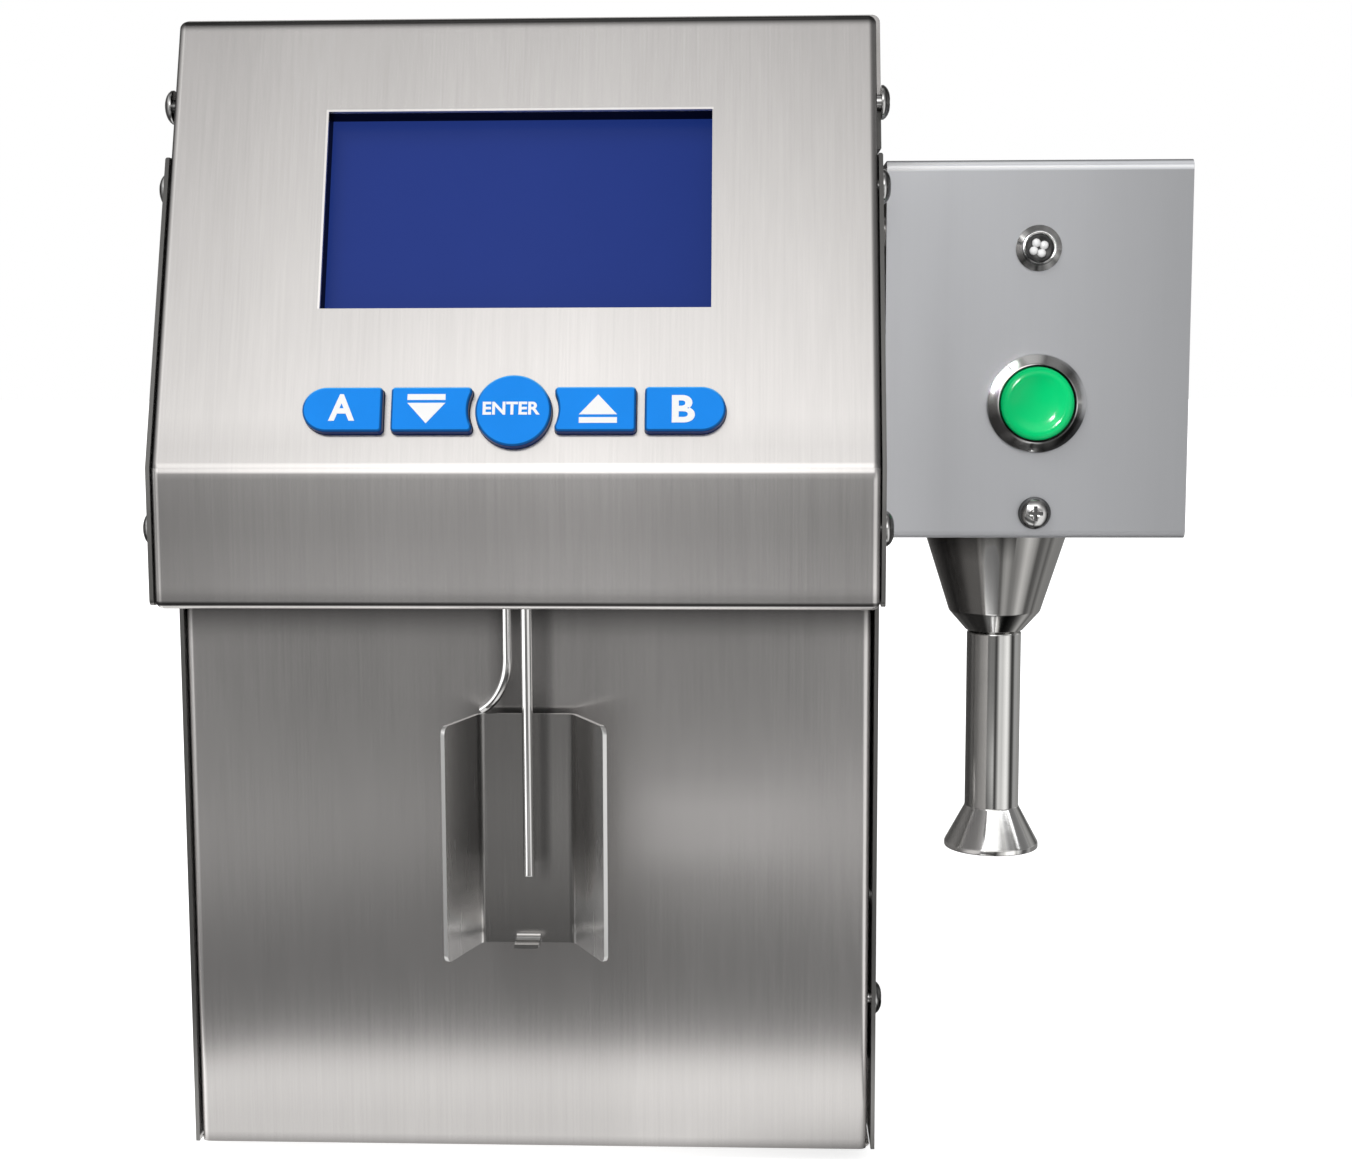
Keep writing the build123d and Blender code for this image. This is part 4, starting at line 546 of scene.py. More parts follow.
def cone_painted_reflection(across, facing):
    """Painted reflection: lengthwise light and dark bands of the horn's cone, with painted shade under the box.
    """
    bearing = round_horn(across)
    under = millimetres(across.z, box_low.z)
    shade = tone_steps(under, [(-6.7, 1), (-3.7, 0.65), (-1.4, 0.36), (0, 0.3)])
    shade = mix(calculate("LESS_THAN", bearing, 10.0), 1.0, shade)
    bands = tone_steps(bearing, [
        (-100, 0.7), (-72, 0.25), (-57, 0.12), (-48, 0.42), (-40, 0.4), (-28, 0.34), (-22, 0.36), (-18, 1.4),
        (-14, 3.8), (-7, 4.2), (-4, 2.8), (-1, 1.2), (5, 0.6), (9, 0.35), (12, 0.36), (16, 0.55), (21, 1.05),
        (26, 1.3), (31, 1.8), (37, 2.3), (44, 0.66), (50, 1.5), (60, 1.2), (90, 1),
    ])
    return multiply(bands, shade)


def rod_painted_reflection(across, facing):
    """Painted reflection: lengthwise light and dark bands of the horn's rod and of its flared end."""
    bearing = round_horn(across)
    flare = tone_steps(bearing, [
        (-90, 0.8), (-50, 1.2), (-43, 2.1), (-36, 3.8), (-29, 3), (-23, 2.4), (-17, 3), (-12, 1.1), (-6, 0.75),
        (4, 0.72), (9, 0.85), (13, 1.5), (19, 2.2), (23, 1.4), (26, 0.9), (30, 1.8), (34, 3.4), (42, 2.8),
        (51, 1), (60, 0.9), (90, 1),
    ])
    rod = tone_steps(bearing, [
        (-90, 0.25), (-64, 0.3), (-54, 0.8), (-46, 1.2), (-38, 0.75), (-31, 0.65), (-26, 0.7), (-19, 0.85),
        (-12, 1.15), (-6, 1.1), (1, 0.45), (7, 0.8), (14, 0.75), (21, 1.1), (28, 1.35), (36, 0.6), (46, 1.8),
        (58, 1.3), (90, 1),
    ])
    return mix(calculate("LESS_THAN", across.z, flare_top), rod, flare)


def cap_painted_light(across, facing):
    """Painted light on the green cap: darker at its upper left, lighter at its lower right."""
    sideways = millimetres(across.x, button_middle.x)
    upward = millimetres(across.z, button_middle.z)
    slant = minus(sideways, multiply(upward, 0.5))
    return tone_steps(slant, [(-8, 0.78), (-3, 0.9), (2, 1.06), (5, 1.12), (8, 1.05)])


# Finishes, some with painted light and shade
sheet = {"color": (0.62, 0.604, 0.597), "roughness": 0.22, "anisotropy": 0.75, "metallic": 0.86}
sheet_steel = brushed_finish("sheet_steel", **sheet)
cover_steel = brushed_finish("cover_steel", **sheet, painted_tones=cover_painted_light, rolling=roll_cover)
panel_steel = brushed_finish("panel_steel", **sheet, painted_tones=panel_painted_light)
# Cut edges of the sheet steel take a dark grey as painted shade
shaded_cut_edge_steel = brushed_finish("shaded_cut_edge_steel", (0.27, 0.267, 0.262), 0.3, 0.0, painted_tones=edge_painted_shade)
box_steel = brushed_finish(
    "box_steel", (0.6, 0.61, 0.635), 0.5, 0.2, line_depth=0.02, grain=0.02, metallic=0.6, painted_tones=box_painted_light,
)
turned_steel = turned_finish("turned_steel", (0.66, 0.66, 0.65), 0.09, 0.3, "Z")
rod_steel = turned_finish("rod_steel", (0.66, 0.66, 0.65), 0.09, 0.3, "Z", rod_painted_reflection)
# The cone's steel is darker than the other turned steel, as painted shade
shaded_cone_steel = turned_finish("shaded_cone_steel", (0.44, 0.435, 0.425), 0.11, 0.4, "Z", cone_painted_reflection)
small_bezel_steel = turned_finish("small_bezel_steel", (0.74,) * 3, 0.13, 0.3, "Y", small_bezel_painted_reflection)
cone_bezel_steel = turned_finish("cone_bezel_steel", (0.74,) * 3, 0.1, 0.0, "Y", bezel_painted_reflection)
tube_steel = brushed_finish("tube_steel", (0.78, 0.775, 0.76), 0.12, 0.0, line_depth=0.04, painted_tones=tube_painted_shade)
# The holder's steel is painted darker than the sheet steel, as shade, and darker still on its sideways faces
shaded_holder_steel = brushed_finish(
    "shaded_holder_steel", (0.46, 0.452, 0.445), 0.26, 0.7, side_shade_factor=0.62, painted_tones=holder_painted_light,
)
# Cut edges of the holder take a light grey as painted highlight
cut_edge_highlight = brushed_finish("cut_edge_highlight", (0.8, 0.8, 0.79), 0.3, 0.0, line_depth=0.03, metallic=0.8)
screw_steel = brushed_finish("screw_steel", (0.64,) * 3, 0.13, 0.0, line_depth=0.05, painted_tones=rim_painted_shade)
# Dark steel painted as shade into screw recesses and the button's bore; the indicator's dark cup wears it too
recess_shade_steel = brushed_finish("recess_shade_steel", (0.1,) * 3, 0.3, 0.0)
display_surround = moulded_finish("display_surround", (0.002, 0.002, 0.008), 0.45, specular=0.15)
display_blue = moulded_finish("display_blue", (0.005, 0.012, 0.08), 0.25, specular=0.12)
tree = display_blue.node_tree
across = axes_of(add_node(tree, "ShaderNodeTexCoord").outputs["Object"])
# The display glows as its backlight would, which also keeps its recess's shade off the screen; the glow is
# dimmer towards the right
backlight = tone_steps(case_place(across)[0], [(-38, 0.9), (0, 1), (20, 0.6), (38, 0.1)])
backlight = blend_colors(backlight, (0.007, 0.021, 0.125), (0.0125, 0.028, 0.148))
set_inputs(tree.nodes["Principled BSDF"], Emission_Color=backlight, Emission_Strength=1.0)
sign_white = moulded_finish("sign_white", (0.93,) * 3, 0.4, variation=0.02, specular=0.3)

slot_finish = {
    "brushed_steel": sheet_steel,
    "satin_steel": box_steel,
    "polished_steel": turned_steel,
    "aluminium": turned_steel,
    "motor_steel": turned_steel,
    "screw_steel": screw_steel,
    "display": display_blue,
    "key_blue": moulded_finish(
        "key_blue", (0.008, 0.25, 0.84), 0.3, specular=0.14, painted_side_shade=(0.002, 0.02, 0.14)
    ),
    "cap_green": moulded_finish(
        "cap_green", (0.0, 0.36, 0.105), 0.12, depth=0.01, specular=0.22, painted_tones=cap_painted_light
    ),
    "clear_lens": moulded_finish("clear_lens", (0.5,) * 3, 0.1, depth=0.01),
    "black_plastic": moulded_finish("black_plastic", (0.015, 0.015, 0.017), 0.5),
    "rubber": moulded_finish("soft_rubber", (0.03,) * 3, 0.7),
    "hose": moulded_finish("milky_hose", (0.8, 0.8, 0.76), 0.4),
    "board_green": moulded_finish("board_green", (0.02, 0.2, 0.07), 0.45),
    "grey_plastic": moulded_finish("grey_plastic", (0.3, 0.31, 0.33), 0.5),
    "ceramic": moulded_finish("fired_ceramic", (0.75, 0.73, 0.68), 0.4),
}
node_slot = {part["node"]: part["material_slot"] for part in frame["record"]["subparts"]}
node_body = {node: body for body, nodes in frame["record"]["behaviour"]["bodies"].items() for node in nodes}
for name, node in frame["nodes"].items():
    node.data.materials.clear()
    node.data.materials.append(slot_finish[node_slot[name]])

# Pieces
FOLD_LIMIT = radians(42)


def put_piece(name, shape, body, finish, slot, *replaced, even=True):
    """Makes an object of a bmesh: smooth faces, crisp edges past the fold limit, riding on a body."""
    for face in shape.faces:
        face.smooth = True
    for edge in shape.edges:
        edge.smooth = edge.is_manifold and edge.calc_face_angle() < FOLD_LIMIT
    mesh = bpy.data.meshes.new(name)
    shape.to_mesh(mesh)
    shape.free()
    for material in finish if isinstance(finish, tuple) else (finish,):
        mesh.materials.append(material)
    piece = bpy.data.objects.new(name, mesh)
    scene.collection.objects.link(piece)
    if even:
        piece.modifiers.new("even_light", "WEIGHTED_NORMAL").keep_sharp = True
    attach(piece, body)
    if replaced:
        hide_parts(*replaced)


def copy_of(node):
    """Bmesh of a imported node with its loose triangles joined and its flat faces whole."""
    shape = bmesh.new()
    shape.from_mesh(frame["nodes"][node].data)
    bmesh.ops.remove_doubles(shape, verts=shape.verts, dist=0.002 * MM)
    bmesh.ops.dissolve_limit(
        shape, angle_limit=radians(0.5), verts=shape.verts, edges=shape.edges, delimit={"NORMAL"},
    )
    return shape


def soften_edges(shape, width, steps=2, limit=FOLD_LIMIT):
    """Takes the knife edge off every crisp corner."""
    crisp = [edge for edge in shape.edges if edge.is_manifold and edge.calc_face_angle() > limit]
    bmesh.ops.bevel(
        shape, geom=crisp, offset=width * MM, offset_type="OFFSET", segments=steps, profile=0.5, affect="EDGES",
        clamp_overlap=True, material=-1,
    )


CUT_WIDTH, WING_REACH = 0.9 * MM, 14.9 * MM


def is_cut_edge(face):
    """Narrow faces with few corners are cut edges."""
    return len(face.verts) < 7


def is_plate_edge(face):
    """Narrow faces of a side plate that look forward, up or down."""
    return abs(face.normal.x) < 0.5


def dress(node, finish=None, edge=0.12, cut_finish=None, reshape=None, is_cut=is_cut_edge):
    """The node's own shape with softened edges and smooth bends; narrow cut edges may have their own finish."""
    shape = copy_of(node)
    if reshape:
        reshape(shape)
    if edge:
        soften_edges(shape, edge)
    finish = finish or slot_finish[node_slot[node]]
    if cut_finish:
        for face in shape.faces:
            narrow = 2 * face.calc_area() / face.calc_perimeter() < CUT_WIDTH
            if narrow and is_cut(face):
                face.material_index = 1
        finish = (finish, cut_finish)
    put_piece(node + "_skin", shape, node_body[node], finish, node_slot[node], node)


# Keys and their holes, drawn in to the size that the photograph shows
KEY_ROW_RISE = 10.3 * MM
bend_place = spot(0, BEND_DEPTH, BEND_HEIGHT)
row_place = bend_place + slope_up * KEY_ROW_RISE
KEY_NODES = ("key_a", "key_down", "key_enter", "key_up", "key_b")
WIDE_KEY = "key_enter"
# How far the corners of a key's hole may lie off the key's box, the middle of the row and its plane
HOLE_GAP, HOLE_REACH, HOLE_DEPTH, WIDE_HOLE_REACH = 0.2 * MM, 8.5 * MM, 1.5 * MM, 7.7 * MM


def fit_key(verts, node):
    """Draws in the outline of a key, or of its hole in the cover."""
    wide, tall, lift = (0.985, 0.955, 0.25) if node == WIDE_KEY else (1.0, 0.935, 0.5)
    for vert in verts:
        off = vert.co - row_place
        climb = off.dot(slope_up)
        vert.co += slope_up * (climb * (tall - 1) + lift * MM) + Vector((off.x * (wide - 1), 0, 0))


def fit_key_holes(shape):
    """Draws in the five key holes of the cover."""
    for node in KEY_NODES:
        low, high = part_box(node)
        near = [
            vert
            for vert in shape.verts
            if low.x - HOLE_GAP < vert.co.x < high.x + HOLE_GAP
            and abs((off := vert.co - row_place).dot(slope_up)) < HOLE_REACH
            and abs(off.dot(slope_out)) < HOLE_DEPTH
            and (node == WIDE_KEY) == (off.length < WIDE_HOLE_REACH)
        ]
        fit_key(near, node)


BENDS_FROM, WIDEN_LEFT, WIDEN_RIGHT = 50 * MM, 0.55 * MM, 0.2 * MM


def widen_panel(shape):
    """Draws the panel's side bends out towards the side plates, as near as the photograph shows them."""
    for vert in shape.verts:
        if vert.co.x < case_middle - BENDS_FROM:
            vert.co.x -= WIDEN_LEFT
        elif vert.co.x > case_middle + BENDS_FROM:
            vert.co.x += WIDEN_RIGHT


def is_holder_edge(face):
    """Cut edges of the sample holder, not the narrow faces of its bends."""
    aside = abs(face.calc_center_median().x - case_middle - HOLDER_ASIDE * MM)
    return is_cut_edge(face) and (abs(face.normal.z) > 0.7 or aside > WING_REACH)


dress("front_cover", cover_steel, edge=0.18, reshape=fit_key_holes)
dress("lower_front_panel", panel_steel, reshape=widen_panel)
for node in ("left_side_plate", "right_side_plate"):
    dress(node, cut_finish=shaded_cut_edge_steel, is_cut=is_plate_edge)
dress("top_hood", cut_finish=shaded_cut_edge_steel)
for node in ("base_tray", "rear_panel", "stirrer_cover", "stirrer_frame"):
    dress(node)
dress("sample_holder", shaded_holder_steel, cut_finish=cut_edge_highlight, is_cut=is_holder_edge)
for node in KEY_NODES:
    dress(node, edge=0, reshape=lambda shape, node=node: fit_key(shape.verts, node))
for node in (
    "stirrer_mount_screws",
    "rubber_feet",
    "data_port",
    "power_inlet",
    "power_switch_housing",
    "power_switch_rocker",
):
    dress(node, edge=0.05)
dress("lcd_frame", display_surround, edge=0.05)


# Screws, whose cross recess lies within a reach of the axis and between two depths from the tip
RECESS_REACH, RECESS_START, RECESS_END = 1.62, 0.35, 1.25


def separate_screws(shape):
    """Sets of faces, one for each screw."""
    left = set(shape.faces)
    screws = []
    while left:
        waiting = [left.pop()]
        screws.append(set(waiting))
        while waiting:
            beside = {other for edge in waiting.pop().edges for other in edge.link_faces} & left
            left -= beside
            waiting.extend(beside)
            screws[-1] |= beside
    return screws


def paint_recess_shade(shape, axis, tip_of):
    """Gives the faces down in the cross recess of each screw head the second material, dark steel as painted
    shade.
    """
    for screw in separate_screws(shape):
        points = [vert.co for face in screw for vert in face.verts]
        low = Vector([min(point[index] for point in points) for index in range(3)])
        high = Vector([max(point[index] for point in points) for index in range(3)])
        tip = tip_of(low, high)
        for face in screw:
            off = face.calc_center_median() - (low + high) / 2
            off[axis] = 0
            depth = abs(face.calc_center_median()[axis] - tip) / MM
            if off.length < RECESS_REACH * MM and RECESS_START < depth < RECESS_END:
                face.material_index = 1


def flatten_heads(shape):
    """Lowers the domes of the side screws by a quarter, beyond their seat on the plates."""
    seat = 69.05
    for vert in shape.verts:
        off = (vert.co.x - case_middle) / MM
        if abs(off) > seat:
            vert.co.x = case_middle + (seat + (abs(off) - seat) * 0.75) * MM * (1 if off > 0 else -1)


for node, axis, tip_of in (
    ("case_screws", 0, lambda low, high: high.x if low.x > case_middle else low.x),
    ("stirrer_screw", 1, lambda low, high: low.y),
):
    shape = copy_of(node)
    paint_recess_shade(shape, axis, tip_of)
    if node == "case_screws":
        flatten_heads(shape)
    soften_edges(shape, 0.06)
    put_piece(node + "_skin", shape, node_body[node], (screw_steel, recess_shade_steel), "screw_steel", node)


# Signs on the keys
KEY_RISE = 2.2 * MM
key_face = bend_place + slope_out * KEY_RISE
slope_turn = Matrix((Vector((1, 0, 0)), slope_up, slope_out)).transposed().to_4x4()
PAINT = 0.05


def write_letters(words, weight):
    """Bmesh of raised letters in the flat."""
    curve = bpy.data.curves.new("letters", "FONT")
    curve.body = words
    curve.extrude = 0.5
    curve.offset = weight
    curve.resolution_u = 8
    holder = bpy.data.objects.new("letters", curve)
    flat = bpy.data.meshes.new_from_object(holder)
    shape = bmesh.new()
    shape.from_mesh(flat)
    bpy.data.objects.remove(holder)
    bpy.data.curves.remove(curve)
    bpy.data.meshes.remove(flat)
    bmesh.ops.remove_doubles(shape, verts=shape.verts, dist=0.0002)
    return shape


def push_out(shape, made, way):
    """Moves the points that an extrusion made."""
    points = [item for item in made if isinstance(item, bmesh.types.BMVert)]
    bmesh.ops.translate(shape, verts=points, vec=way)


def raise_patch(shape, corners):
    """Adds a flat raised patch from its corners."""
    face = shape.faces.new([shape.verts.new((x, y, -0.5)) for x, y in corners])
    push_out(shape, bmesh.ops.extrude_face_region(shape, geom=[face])["geom"], (0, 0, 1))
    bmesh.ops.recalc_face_normals(shape, faces=shape.faces)


def place_sign(key, shape, left, low, right_edge, high):
    """Fits a flat sign into its place on the key top and puts it there as white paint."""
    spread = [[pick(vert.co[index] for vert in shape.verts) for pick in (min, max)] for index in range(3)]
    bmesh.ops.translate(shape, verts=shape.verts, vec=[-side[0] for side in spread])
    wanted = (right_edge - left, high - low, PAINT)
    growth = [length / (side[1] - side[0]) * MM for length, side in zip(wanted, spread)]
    bmesh.ops.scale(shape, verts=shape.verts, vec=growth)
    bmesh.ops.translate(shape, verts=shape.verts, vec=(left * MM, low * MM, 0))
    bmesh.ops.transform(shape, matrix=Matrix.Translation(key_face) @ slope_turn, verts=shape.verts)
    put_piece(key + "_sign", shape, node_body[key], sign_white, "key_blue", even=False)


place_sign("key_a", write_letters("A", 0.03), -34.36, 8.53, -29.48, 13.66)
place_sign("key_enter", write_letters("ENTER", 0.028), -5.62, 9.66, 4.99, 12.14)
place_sign("key_b", write_letters("B", 0.03), 29.41, 8.11, 33.66, 13.37)
for key, hand, left, low, right_edge, high in (
    ("key_down", -1, -19.69, 8.02, -12.6, 13.64),
    ("key_up", 1, 12.25, 8.06, 19.3, 13.51),
):
    shape = bmesh.new()
    for corners in (
        [(-0.63, -0.2 * hand), (0.63, -0.2 * hand), (0.0, 0.5 * hand)],
        [(-0.63, -0.5 * hand), (0.63, -0.5 * hand), (0.63, -0.3 * hand), (-0.63, -0.3 * hand)],
    ):
        raise_patch(shape, corners)
    place_sign(key, shape, left, low, right_edge, high)


# Turned pieces
def turn_shape(profile, place, toward, rounding=0.0, closed=False, steps=96):
    """Spins points of (radius, distance along the axis) in millimetres about an axis through a place."""
    shape = bmesh.new()
    points = [shape.verts.new((radius * MM, 0, along * MM)) for radius, along in profile]
    pairs = list(zip(points, points[1:])) + ([(points[-1], points[0])] if closed else [])
    for pair in pairs:
        shape.edges.new(pair)
    bmesh.ops.spin(
        shape, geom=shape.verts[:] + shape.edges[:], cent=(0, 0, 0), axis=(0, 0, 1), angle=2 * pi, steps=steps,
        use_merge=True,
    )
    bmesh.ops.remove_doubles(shape, verts=shape.verts, dist=0.001 * MM)
    bmesh.ops.recalc_face_normals(shape, faces=shape.faces)
    if rounding:
        soften_edges(shape, rounding, 3, radians(14))
    turn = Vector(UP).rotation_difference(Vector(toward)).to_matrix().to_4x4()
    bmesh.ops.transform(shape, matrix=Matrix.Translation(place) @ turn, verts=shape.verts)
    return shape


horn_place = Vector((horn_middle.x, horn_middle.y, box_low.z))
button_place = Vector((button_middle.x, box_low.y, button_middle.z))
lamp_place = Vector((lamp_middle.x, box_low.y, lamp_middle.z))

cone_profile = [
    (0, -1), (4.05, -1), (4.05, 10), (15, 10), (15, 4.2), (19, 4.2), (19, 1.7), (15.5, 1.7), (15.5, -1),
    (9.9, -18.6), (6.1, -22.9), (3.05, -22.9), (3.05, -14.55), (0, -14.55),
]
rod_profile = [
    (0, -14.6), (3, -14.6), (3, -22.95), (5.4, -22.95), (5.9, -23.4), (5.9, -62.1), (10.3, -70.3),
    (10.3, -71.4), (0, -71.4),
]
for node, profile, rounding, finish in (
    ("horn_cone", cone_profile, 0.25, shaded_cone_steel),
    ("horn_rod", rod_profile, 0.22, rod_steel),
):
    shape = turn_shape(profile, horn_place, UP, rounding, steps=128)
    put_piece(node + "_skin", shape, "case", finish, "polished_steel", node)

BEZEL_BORE = 7.84 * MM
bezel_profile = [
    (0, -11), (8.6, -11), (8.6, 0), (10, 0), (10, 0.55), (9.8, 0.85), (8.15, 2.32), (8, 2.4), (7.8, 2.32),
    (7.8, -5.4), (5.25, -5.4), (5.25, -10.2), (0, -10.2),
]
shape = turn_shape(bezel_profile, button_place, OUT)
# Faces inside the bezel's bore take the dark steel as painted shade
for face in shape.faces:
    off = face.calc_center_median() - button_place
    if Vector((off.x, off.z)).length < BEZEL_BORE:
        face.material_index = 1
put_piece(
    "button_bezel_skin", shape, "case", (cone_bezel_steel, recess_shade_steel), "polished_steel", "button_bezel",
)
cap_profile = [
    (0, -7.4), (5, -7.4), (5, -2.4), (7.4, -2.4), (7.4, 1.9), (7.33, 2.35), (7.1, 2.75), (6.7, 3.06),
    (6.25, 3.2), (5.7, 3.2), (5.2, 3.1), (4.6, 2.95), (3.6, 2.82), (1.8, 2.72), (0, 2.7),
]
shape = turn_shape(cap_profile, button_place, OUT)
put_piece(
    "button_cap_skin", shape, node_body["button_cap"], slot_finish["cap_green"], "cap_green", "button_cap",
)

ring_profile = [
    (0, -12), (3.9, -12), (3.9, 0), (4.6, 0), (4.6, 0.3), (3.45, 0.95), (3.35, 1.25), (3.2, 1.3), (3, 1.3),
    (2.85, 1.2), (2.75, 0.3), (2.75, -4), (0, -4),
]
shape = turn_shape(ring_profile, lamp_place, OUT, 0.06)
put_piece("led_bezel_skin", shape, "case", small_bezel_steel, "polished_steel", "led_bezel")
cup_profile = [(0, -0.6), (2.7, -0.6), (2.7, 0.55), (2.35, 0.2), (1.5, 0), (0, -0.05)]
put_piece("led_cup", turn_shape(cup_profile, lamp_place, OUT), "case", recess_shade_steel, "black_plastic")
lobe_profile = [(0, -0.1), (0.9, -0.1), (0.9, 0.3), (0.7, 0.68), (0.35, 0.86), (0, 0.9)]
LOBE_OFF = 1.15 * MM
lens = bmesh.new()
for bearing in (28, 118, 208, 298):
    outward = Vector((cos(radians(bearing)), 0, sin(radians(bearing))))
    lobe_place = lamp_place + outward * LOBE_OFF
    one = turn_shape(lobe_profile, lobe_place, OUT, steps=12)
    spare = bpy.data.meshes.new("lens_lobe")
    one.to_mesh(spare)
    one.free()
    lens.from_mesh(spare)
    bpy.data.meshes.remove(spare)
put_piece("led_lens_skin", lens, "case", slot_finish["clear_lens"], "clear_lens", "led_lens")

tube_low, tube_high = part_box("sample_tube")
tube_foot = Vector((middle("sample_tube").x, middle("sample_tube").y, tube_low.z))
tube_length = (tube_high.z - tube_low.z) / MM
tube_profile = [(0.65, 0.1), (0.8, 0), (0.95, 0.04), (1.05, 0.2), (1.05, tube_length), (0.65, tube_length)]
shape = turn_shape(tube_profile, tube_foot, UP, closed=True, steps=48)
put_piece("sample_tube_skin", shape, "case", tube_steel, "polished_steel", "sample_tube")


def push_wall(shape, wall, way):
    """Extrudes a ring of edges and returns the new ring."""
    made = bmesh.ops.extrude_edge_only(shape, edges=wall)["geom"]
    push_out(shape, made, way)
    return [item for item in made if isinstance(item, bmesh.types.BMEdge) and item.is_boundary]


# The outlet tube, straight down and then bent aside and back into the panel
TUBE_RADIUS, TUBE_WALL, TUBE_BEND = 0.9 * MM, 0.35 * MM, 12.0 * MM
corner = spot(-3.3, -5.6, 94.1)
start = corner.copy()
start.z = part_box("outlet_tube")[1].z
end = corner + Vector((-5.5, 4.2, -4.3)) * MM
down, on = (corner - start).normalized(), (end - corner).normalized()
setback = TUBE_BEND * tan(down.angle(on) / 2)
inward = (on - down * down.dot(on)).normalized()
shape = bmesh.new()
ring = bmesh.ops.create_circle(shape, segments=32, radius=TUBE_RADIUS)["verts"]
bmesh.ops.translate(shape, verts=ring, vec=start)
wall = push_wall(shape, shape.edges[:], corner - down * setback - start)
made = bmesh.ops.spin(
    shape, geom=wall + list({vert for edge in wall for vert in edge.verts}),
    cent=corner - down * setback + inward * TUBE_BEND, axis=down.cross(inward), angle=down.angle(on), steps=24,
)["geom_last"]
wall = [item for item in made if isinstance(item, bmesh.types.BMEdge)]
push_wall(shape, wall, end - corner - on * setback)
bmesh.ops.remove_doubles(shape, verts=shape.verts, dist=0.001 * MM)
bmesh.ops.recalc_face_normals(shape, faces=shape.faces)
bmesh.ops.solidify(shape, geom=shape.faces[:], thickness=TUBE_WALL)
put_piece("outlet_tube_skin", shape, "case", tube_steel, "polished_steel", "outlet_tube")


# Floor and surroundings
WHITE, WARM_WHITE = (1, 1, 1, 1), (1, 0.99, 0.975, 1)
AMBIENT = 0.75
SIDE_SHARE, PATCH_SHINE = 0.6, 0.42
FLOOR_STRIPS, SKY_STRIPS = 0.5, 0.8
# Tall strip lights round the table: bearing from the front and width in degrees, and strength
STRIPS = ((48, 16, 0.9), (-44, 9, 1.2), (-86, 14, 1.0), (118, 14, 0.7), (-150, 14, 0.8))


def bell(value, centre, width):
    """Bell curve of a value, 1 at its centre."""
    off = calculate("MULTIPLY_ADD", value, 1 / width, -centre / width)
    return calculate("EXPONENT", multiply(off, off, -1.0))


def strip_lights(sideways, backwards):
    """Brightness of the tall strip lights seen at a bearing."""
    bearing = calculate("ARCTAN2", sideways, multiply(backwards, -1.0))
    total = 0.0
    for centre, width, strength in STRIPS:
        strip = bell(bearing, radians(centre), radians(width))
        total = calculate("MULTIPLY_ADD", strip, strength, total)
    return total


def mix_shaders(factor, first, second):
    """Shader that goes from the first to the second by a factor."""
    node = add_node(factor.id_data, "ShaderNodeMixShader", Fac=factor)
    feed(node, 1, first.outputs[0])
    feed(node, 2, second.outputs[0])
    return node


def seen_by(tree):
    """Whether the camera looks, straight or through glass, and whether a gloss looks."""
    seen = add_node(tree, "ShaderNodeLightPath").outputs
    return calculate("MAXIMUM", seen["Is Camera Ray"], seen["Is Transmission Ray"]), seen["Is Glossy Ray"]


floor_mesh = bpy.data.meshes.new("floor")
floor_shape = bmesh.new()
bmesh.ops.create_grid(floor_shape, x_segments=1, y_segments=1, size=6.0)
floor_shape.to_mesh(floor_mesh)
floor_shape.free()
floor = bpy.data.objects.new("floor", floor_mesh)
scene.collection.objects.link(floor)

# The floor as gloss sees it follows the distance off the case, the horn and the strip lights
pale, tree, shader, place, normal = new_finish("pale_floor")
tree.nodes.remove(shader)
direct, glossy = seen_by(tree)
where = axes_of(place)
half_depth = (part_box("rear_panel")[1].y - panel_face) / 2
half_width = (panel_high.x - panel_low.x) / 2 + 6 * MM
off_side = minus(where.x, case_middle)
off_middle = minus(where.y, panel_face + half_depth)
aside, ahead_of = (
    calculate("MAXIMUM", minus(calculate("ABSOLUTE", off), half), 0.0)
    for off, half in ((off_side, half_width), (off_middle, half_depth))
)
away = calculate("MULTIPLY_ADD", aside, SIDE_SHARE, ahead_of)
table = grey_ramp(away, [
    (0, 0.86), (0.011, 0.9), (0.046, 1.1), (0.06, 0.9), (0.07, 0.36), (0.084, 0.2), (0.103, 0.135),
    (0.138, 0.115), (0.178, 0.15), (0.224, 0.23), (0.275, 0.34), (0.33, 0.34), (0.425, 0.25), (0.6, 0.21),
    (0.8, 0.2), (0.92, 0.2), (1, 0.32),
])
patch = multiply(bell(away, 0.3, 0.0803), bell(off_side, 0.11, 0.0873))
strips = multiply(strip_lights(off_side, off_middle), rise(away, 0.2, 0.6), FLOOR_STRIPS)
table = calculate("ADD", calculate("MULTIPLY_ADD", patch, PATCH_SHINE, table), strips)
bearing = round_horn(where)
beside_horn = grey_ramp(multiply(bearing, 1 / 180), [
    (0, 0.12), (0.035, 0.1), (0.06, 0.45), (0.11, 1.1), (0.3, 1.05), (0.38, 0.45), (0.43, 0.08), (0.49, 0.1),
    (0.54, 0.3), (0.75, 0.32), (1, 0.2),
])
from_horn = add_node(tree, "ShaderNodeVectorMath", operation="DISTANCE")
feed(from_horn, 0, place)
feed(from_horn, 1, (horn_place.x, horn_place.y, 0))
foot_shade = rise(from_horn.outputs["Value"], 0.055, 0.09, 0.12)
foot_shade = mix(rise(where.y, panel_face - 0.03, panel_face), 1.0, foot_shade)
shine = multiply(mix(rise(bearing, -2, 3), table, beside_horn), foot_shade)
matt = add_node(tree, "ShaderNodeBsdfDiffuse", Color=(0.8, 0.8, 0.8, 1))
glow = add_node(tree, "ShaderNodeEmission", Color=WHITE, Strength=AMBIENT)
lit = add_node(tree, "ShaderNodeAddShader")
feed(lit, 0, matt.outputs[0])
feed(lit, 1, glow.outputs[0])
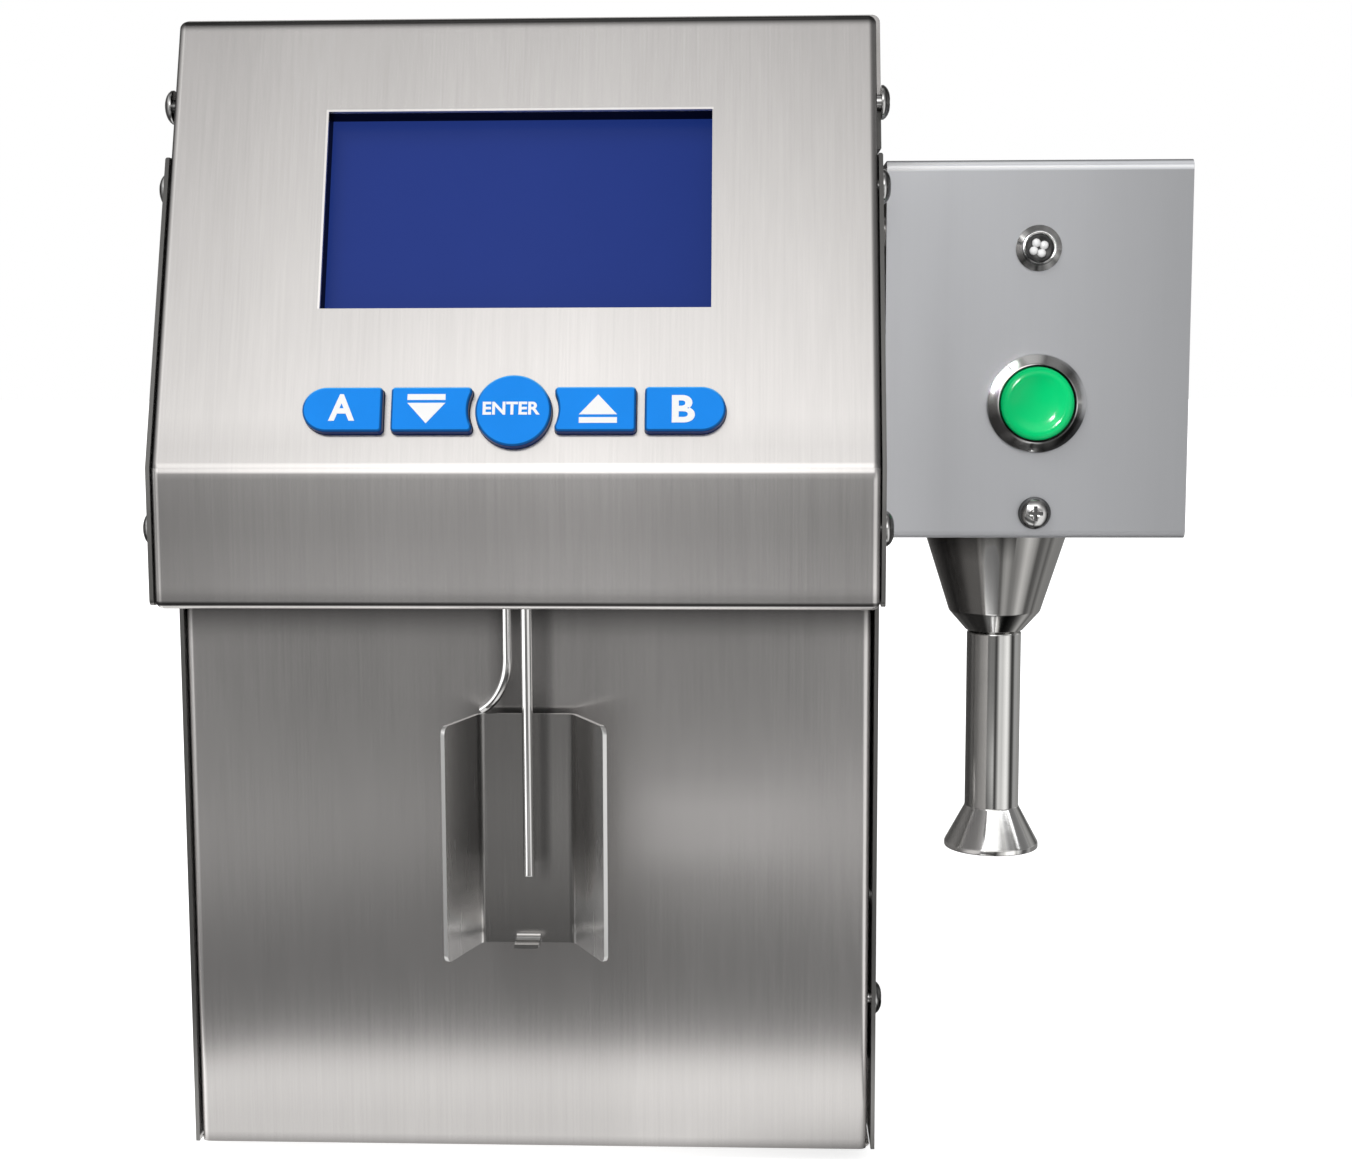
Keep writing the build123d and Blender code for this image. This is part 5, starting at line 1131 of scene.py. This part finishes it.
mirrored = add_node(tree, "ShaderNodeEmission", Color=WARM_WHITE, Strength=shine)
surface = mix_shaders(glossy, mix_shaders(direct, matt, lit), mirrored)
set_inputs(tree.nodes["Material Output"], Surface=surface.outputs[0])
floor_mesh.materials.append(pale)

# The room as gloss sees it: a bright dome, another one on each side, darker behind
world = bpy.data.worlds.new("studio")
scene.world = world
world.use_nodes = True
tree = world.node_tree
tree.nodes.clear()
direct, glossy = seen_by(tree)
where = axes_of(add_node(tree, "ShaderNodeTexCoord").outputs["Generated"])
dome, left_dome, right_dome = (
    grey_ramp(where.z, steps) for steps in (
        [
            (0, 0.44), (0.12, 0.48), (0.2, 1.2), (0.3, 2.2), (0.46, 2.1), (0.55, 1.37), (0.64, 1.04),
            (0.72, 0.62), (0.82, 0.36), (0.95, 0.18), (0.98, 0.5), (1, 0.55),
        ],
        [(0, 0.4), (0.25, 0.55), (0.4, 1.5), (0.78, 1.5), (0.9, 0.8), (1, 0.55)],
        [(0, 0.55), (0.08, 0.25), (0.3, 0.22), (0.7, 0.32), (0.9, 0.42), (1, 0.55)],
    )
)
dome = mix(rise(where.x, -0.38, -0.72), dome, left_dome)
dome = mix(rise(where.x, 0.3, 0.62), dome, right_dome)
spread = calculate("MULTIPLY_ADD", bell(where.x, -0.08, 0.4538), 0.4, 0.6)
sky = multiply(dome, spread, rise(where.y, 0.1, 0.5, 1.0, 0.36))
strips = multiply(strip_lights(where.x, where.y), rise(where.z, 0.6, 0.1), SKY_STRIPS)
reflected = add_node(tree, "ShaderNodeBackground", Color=WARM_WHITE, Strength=calculate("ADD", sky, strips))
ambient = add_node(tree, "ShaderNodeBackground", Color=WHITE, Strength=AMBIENT)
visible = add_node(tree, "ShaderNodeBackground", Color=WHITE, Strength=1.0)
surface = mix_shaders(direct, mix_shaders(glossy, ambient, reflected), visible)
add_node(tree, "ShaderNodeOutputWorld", Surface=surface.outputs[0])


def add_softbox(name, place, target, size, power, glossy=False, only=(), past_others=False):
    """Rectangular area lamp that looks at a point. It may light only some pieces, which alone shade it, and
    past_others also keeps the other pieces out of its reflection."""
    lamp = bpy.data.lights.new(name, "AREA")
    lamp.shape = "RECTANGLE"
    lamp.size, lamp.size_y = size
    lamp.energy = power
    holder = bpy.data.objects.new(name, lamp)
    holder.location = place
    holder.rotation_euler = (target - place).to_track_quat("-Z", "Y").to_euler()
    holder.visible_glossy = glossy
    lamp.cycles.use_multiple_importance_sampling = not past_others
    scene.collection.objects.link(holder)
    if only:
        lit = bpy.data.collections.new(name + "_pieces")
        for piece in only:
            lit.objects.link(bpy.data.objects[piece])
        holder.light_linking.receiver_collection = lit
        holder.light_linking.blocker_collection = lit


add_softbox("left_softbox", spot(-520, -620, 1300), spot(0, 0, 110), (0.5, 0.5), 8.0)
small_parts = ("button_cap_skin", "led_lens_skin", "led_bezel_skin", "stirrer_screw_skin")
for number, place in enumerate((spot(80, -573, 238), spot(-17, -537, 339), spot(-150, -380, 420))):
    add_softbox("window_%d" % number, place, button_place, (0.02, 0.035), 1.1, True, small_parts)

add_softbox(
    "cone_light", button_place + Vector((-0.235, -0.06, 0.185)), button_place, (0.46, 0.34), 3.0, True,
    ("button_bezel_skin",), True,
)
add_softbox(
    "flare_light", horn_place + Vector((0.11, -0.23, 0.25)), horn_place + Vector((0, 0, -0.068)), (0.75, 0.16),
    0.6, True, ("horn_rod_skin",),
)
add_softbox(
    "tube_light", spot(-130, -75, 68), spot(0, -8, 90), (0.19, 0.11), 0.095, True,
    ("sample_tube_skin", "outlet_tube_skin"),
)
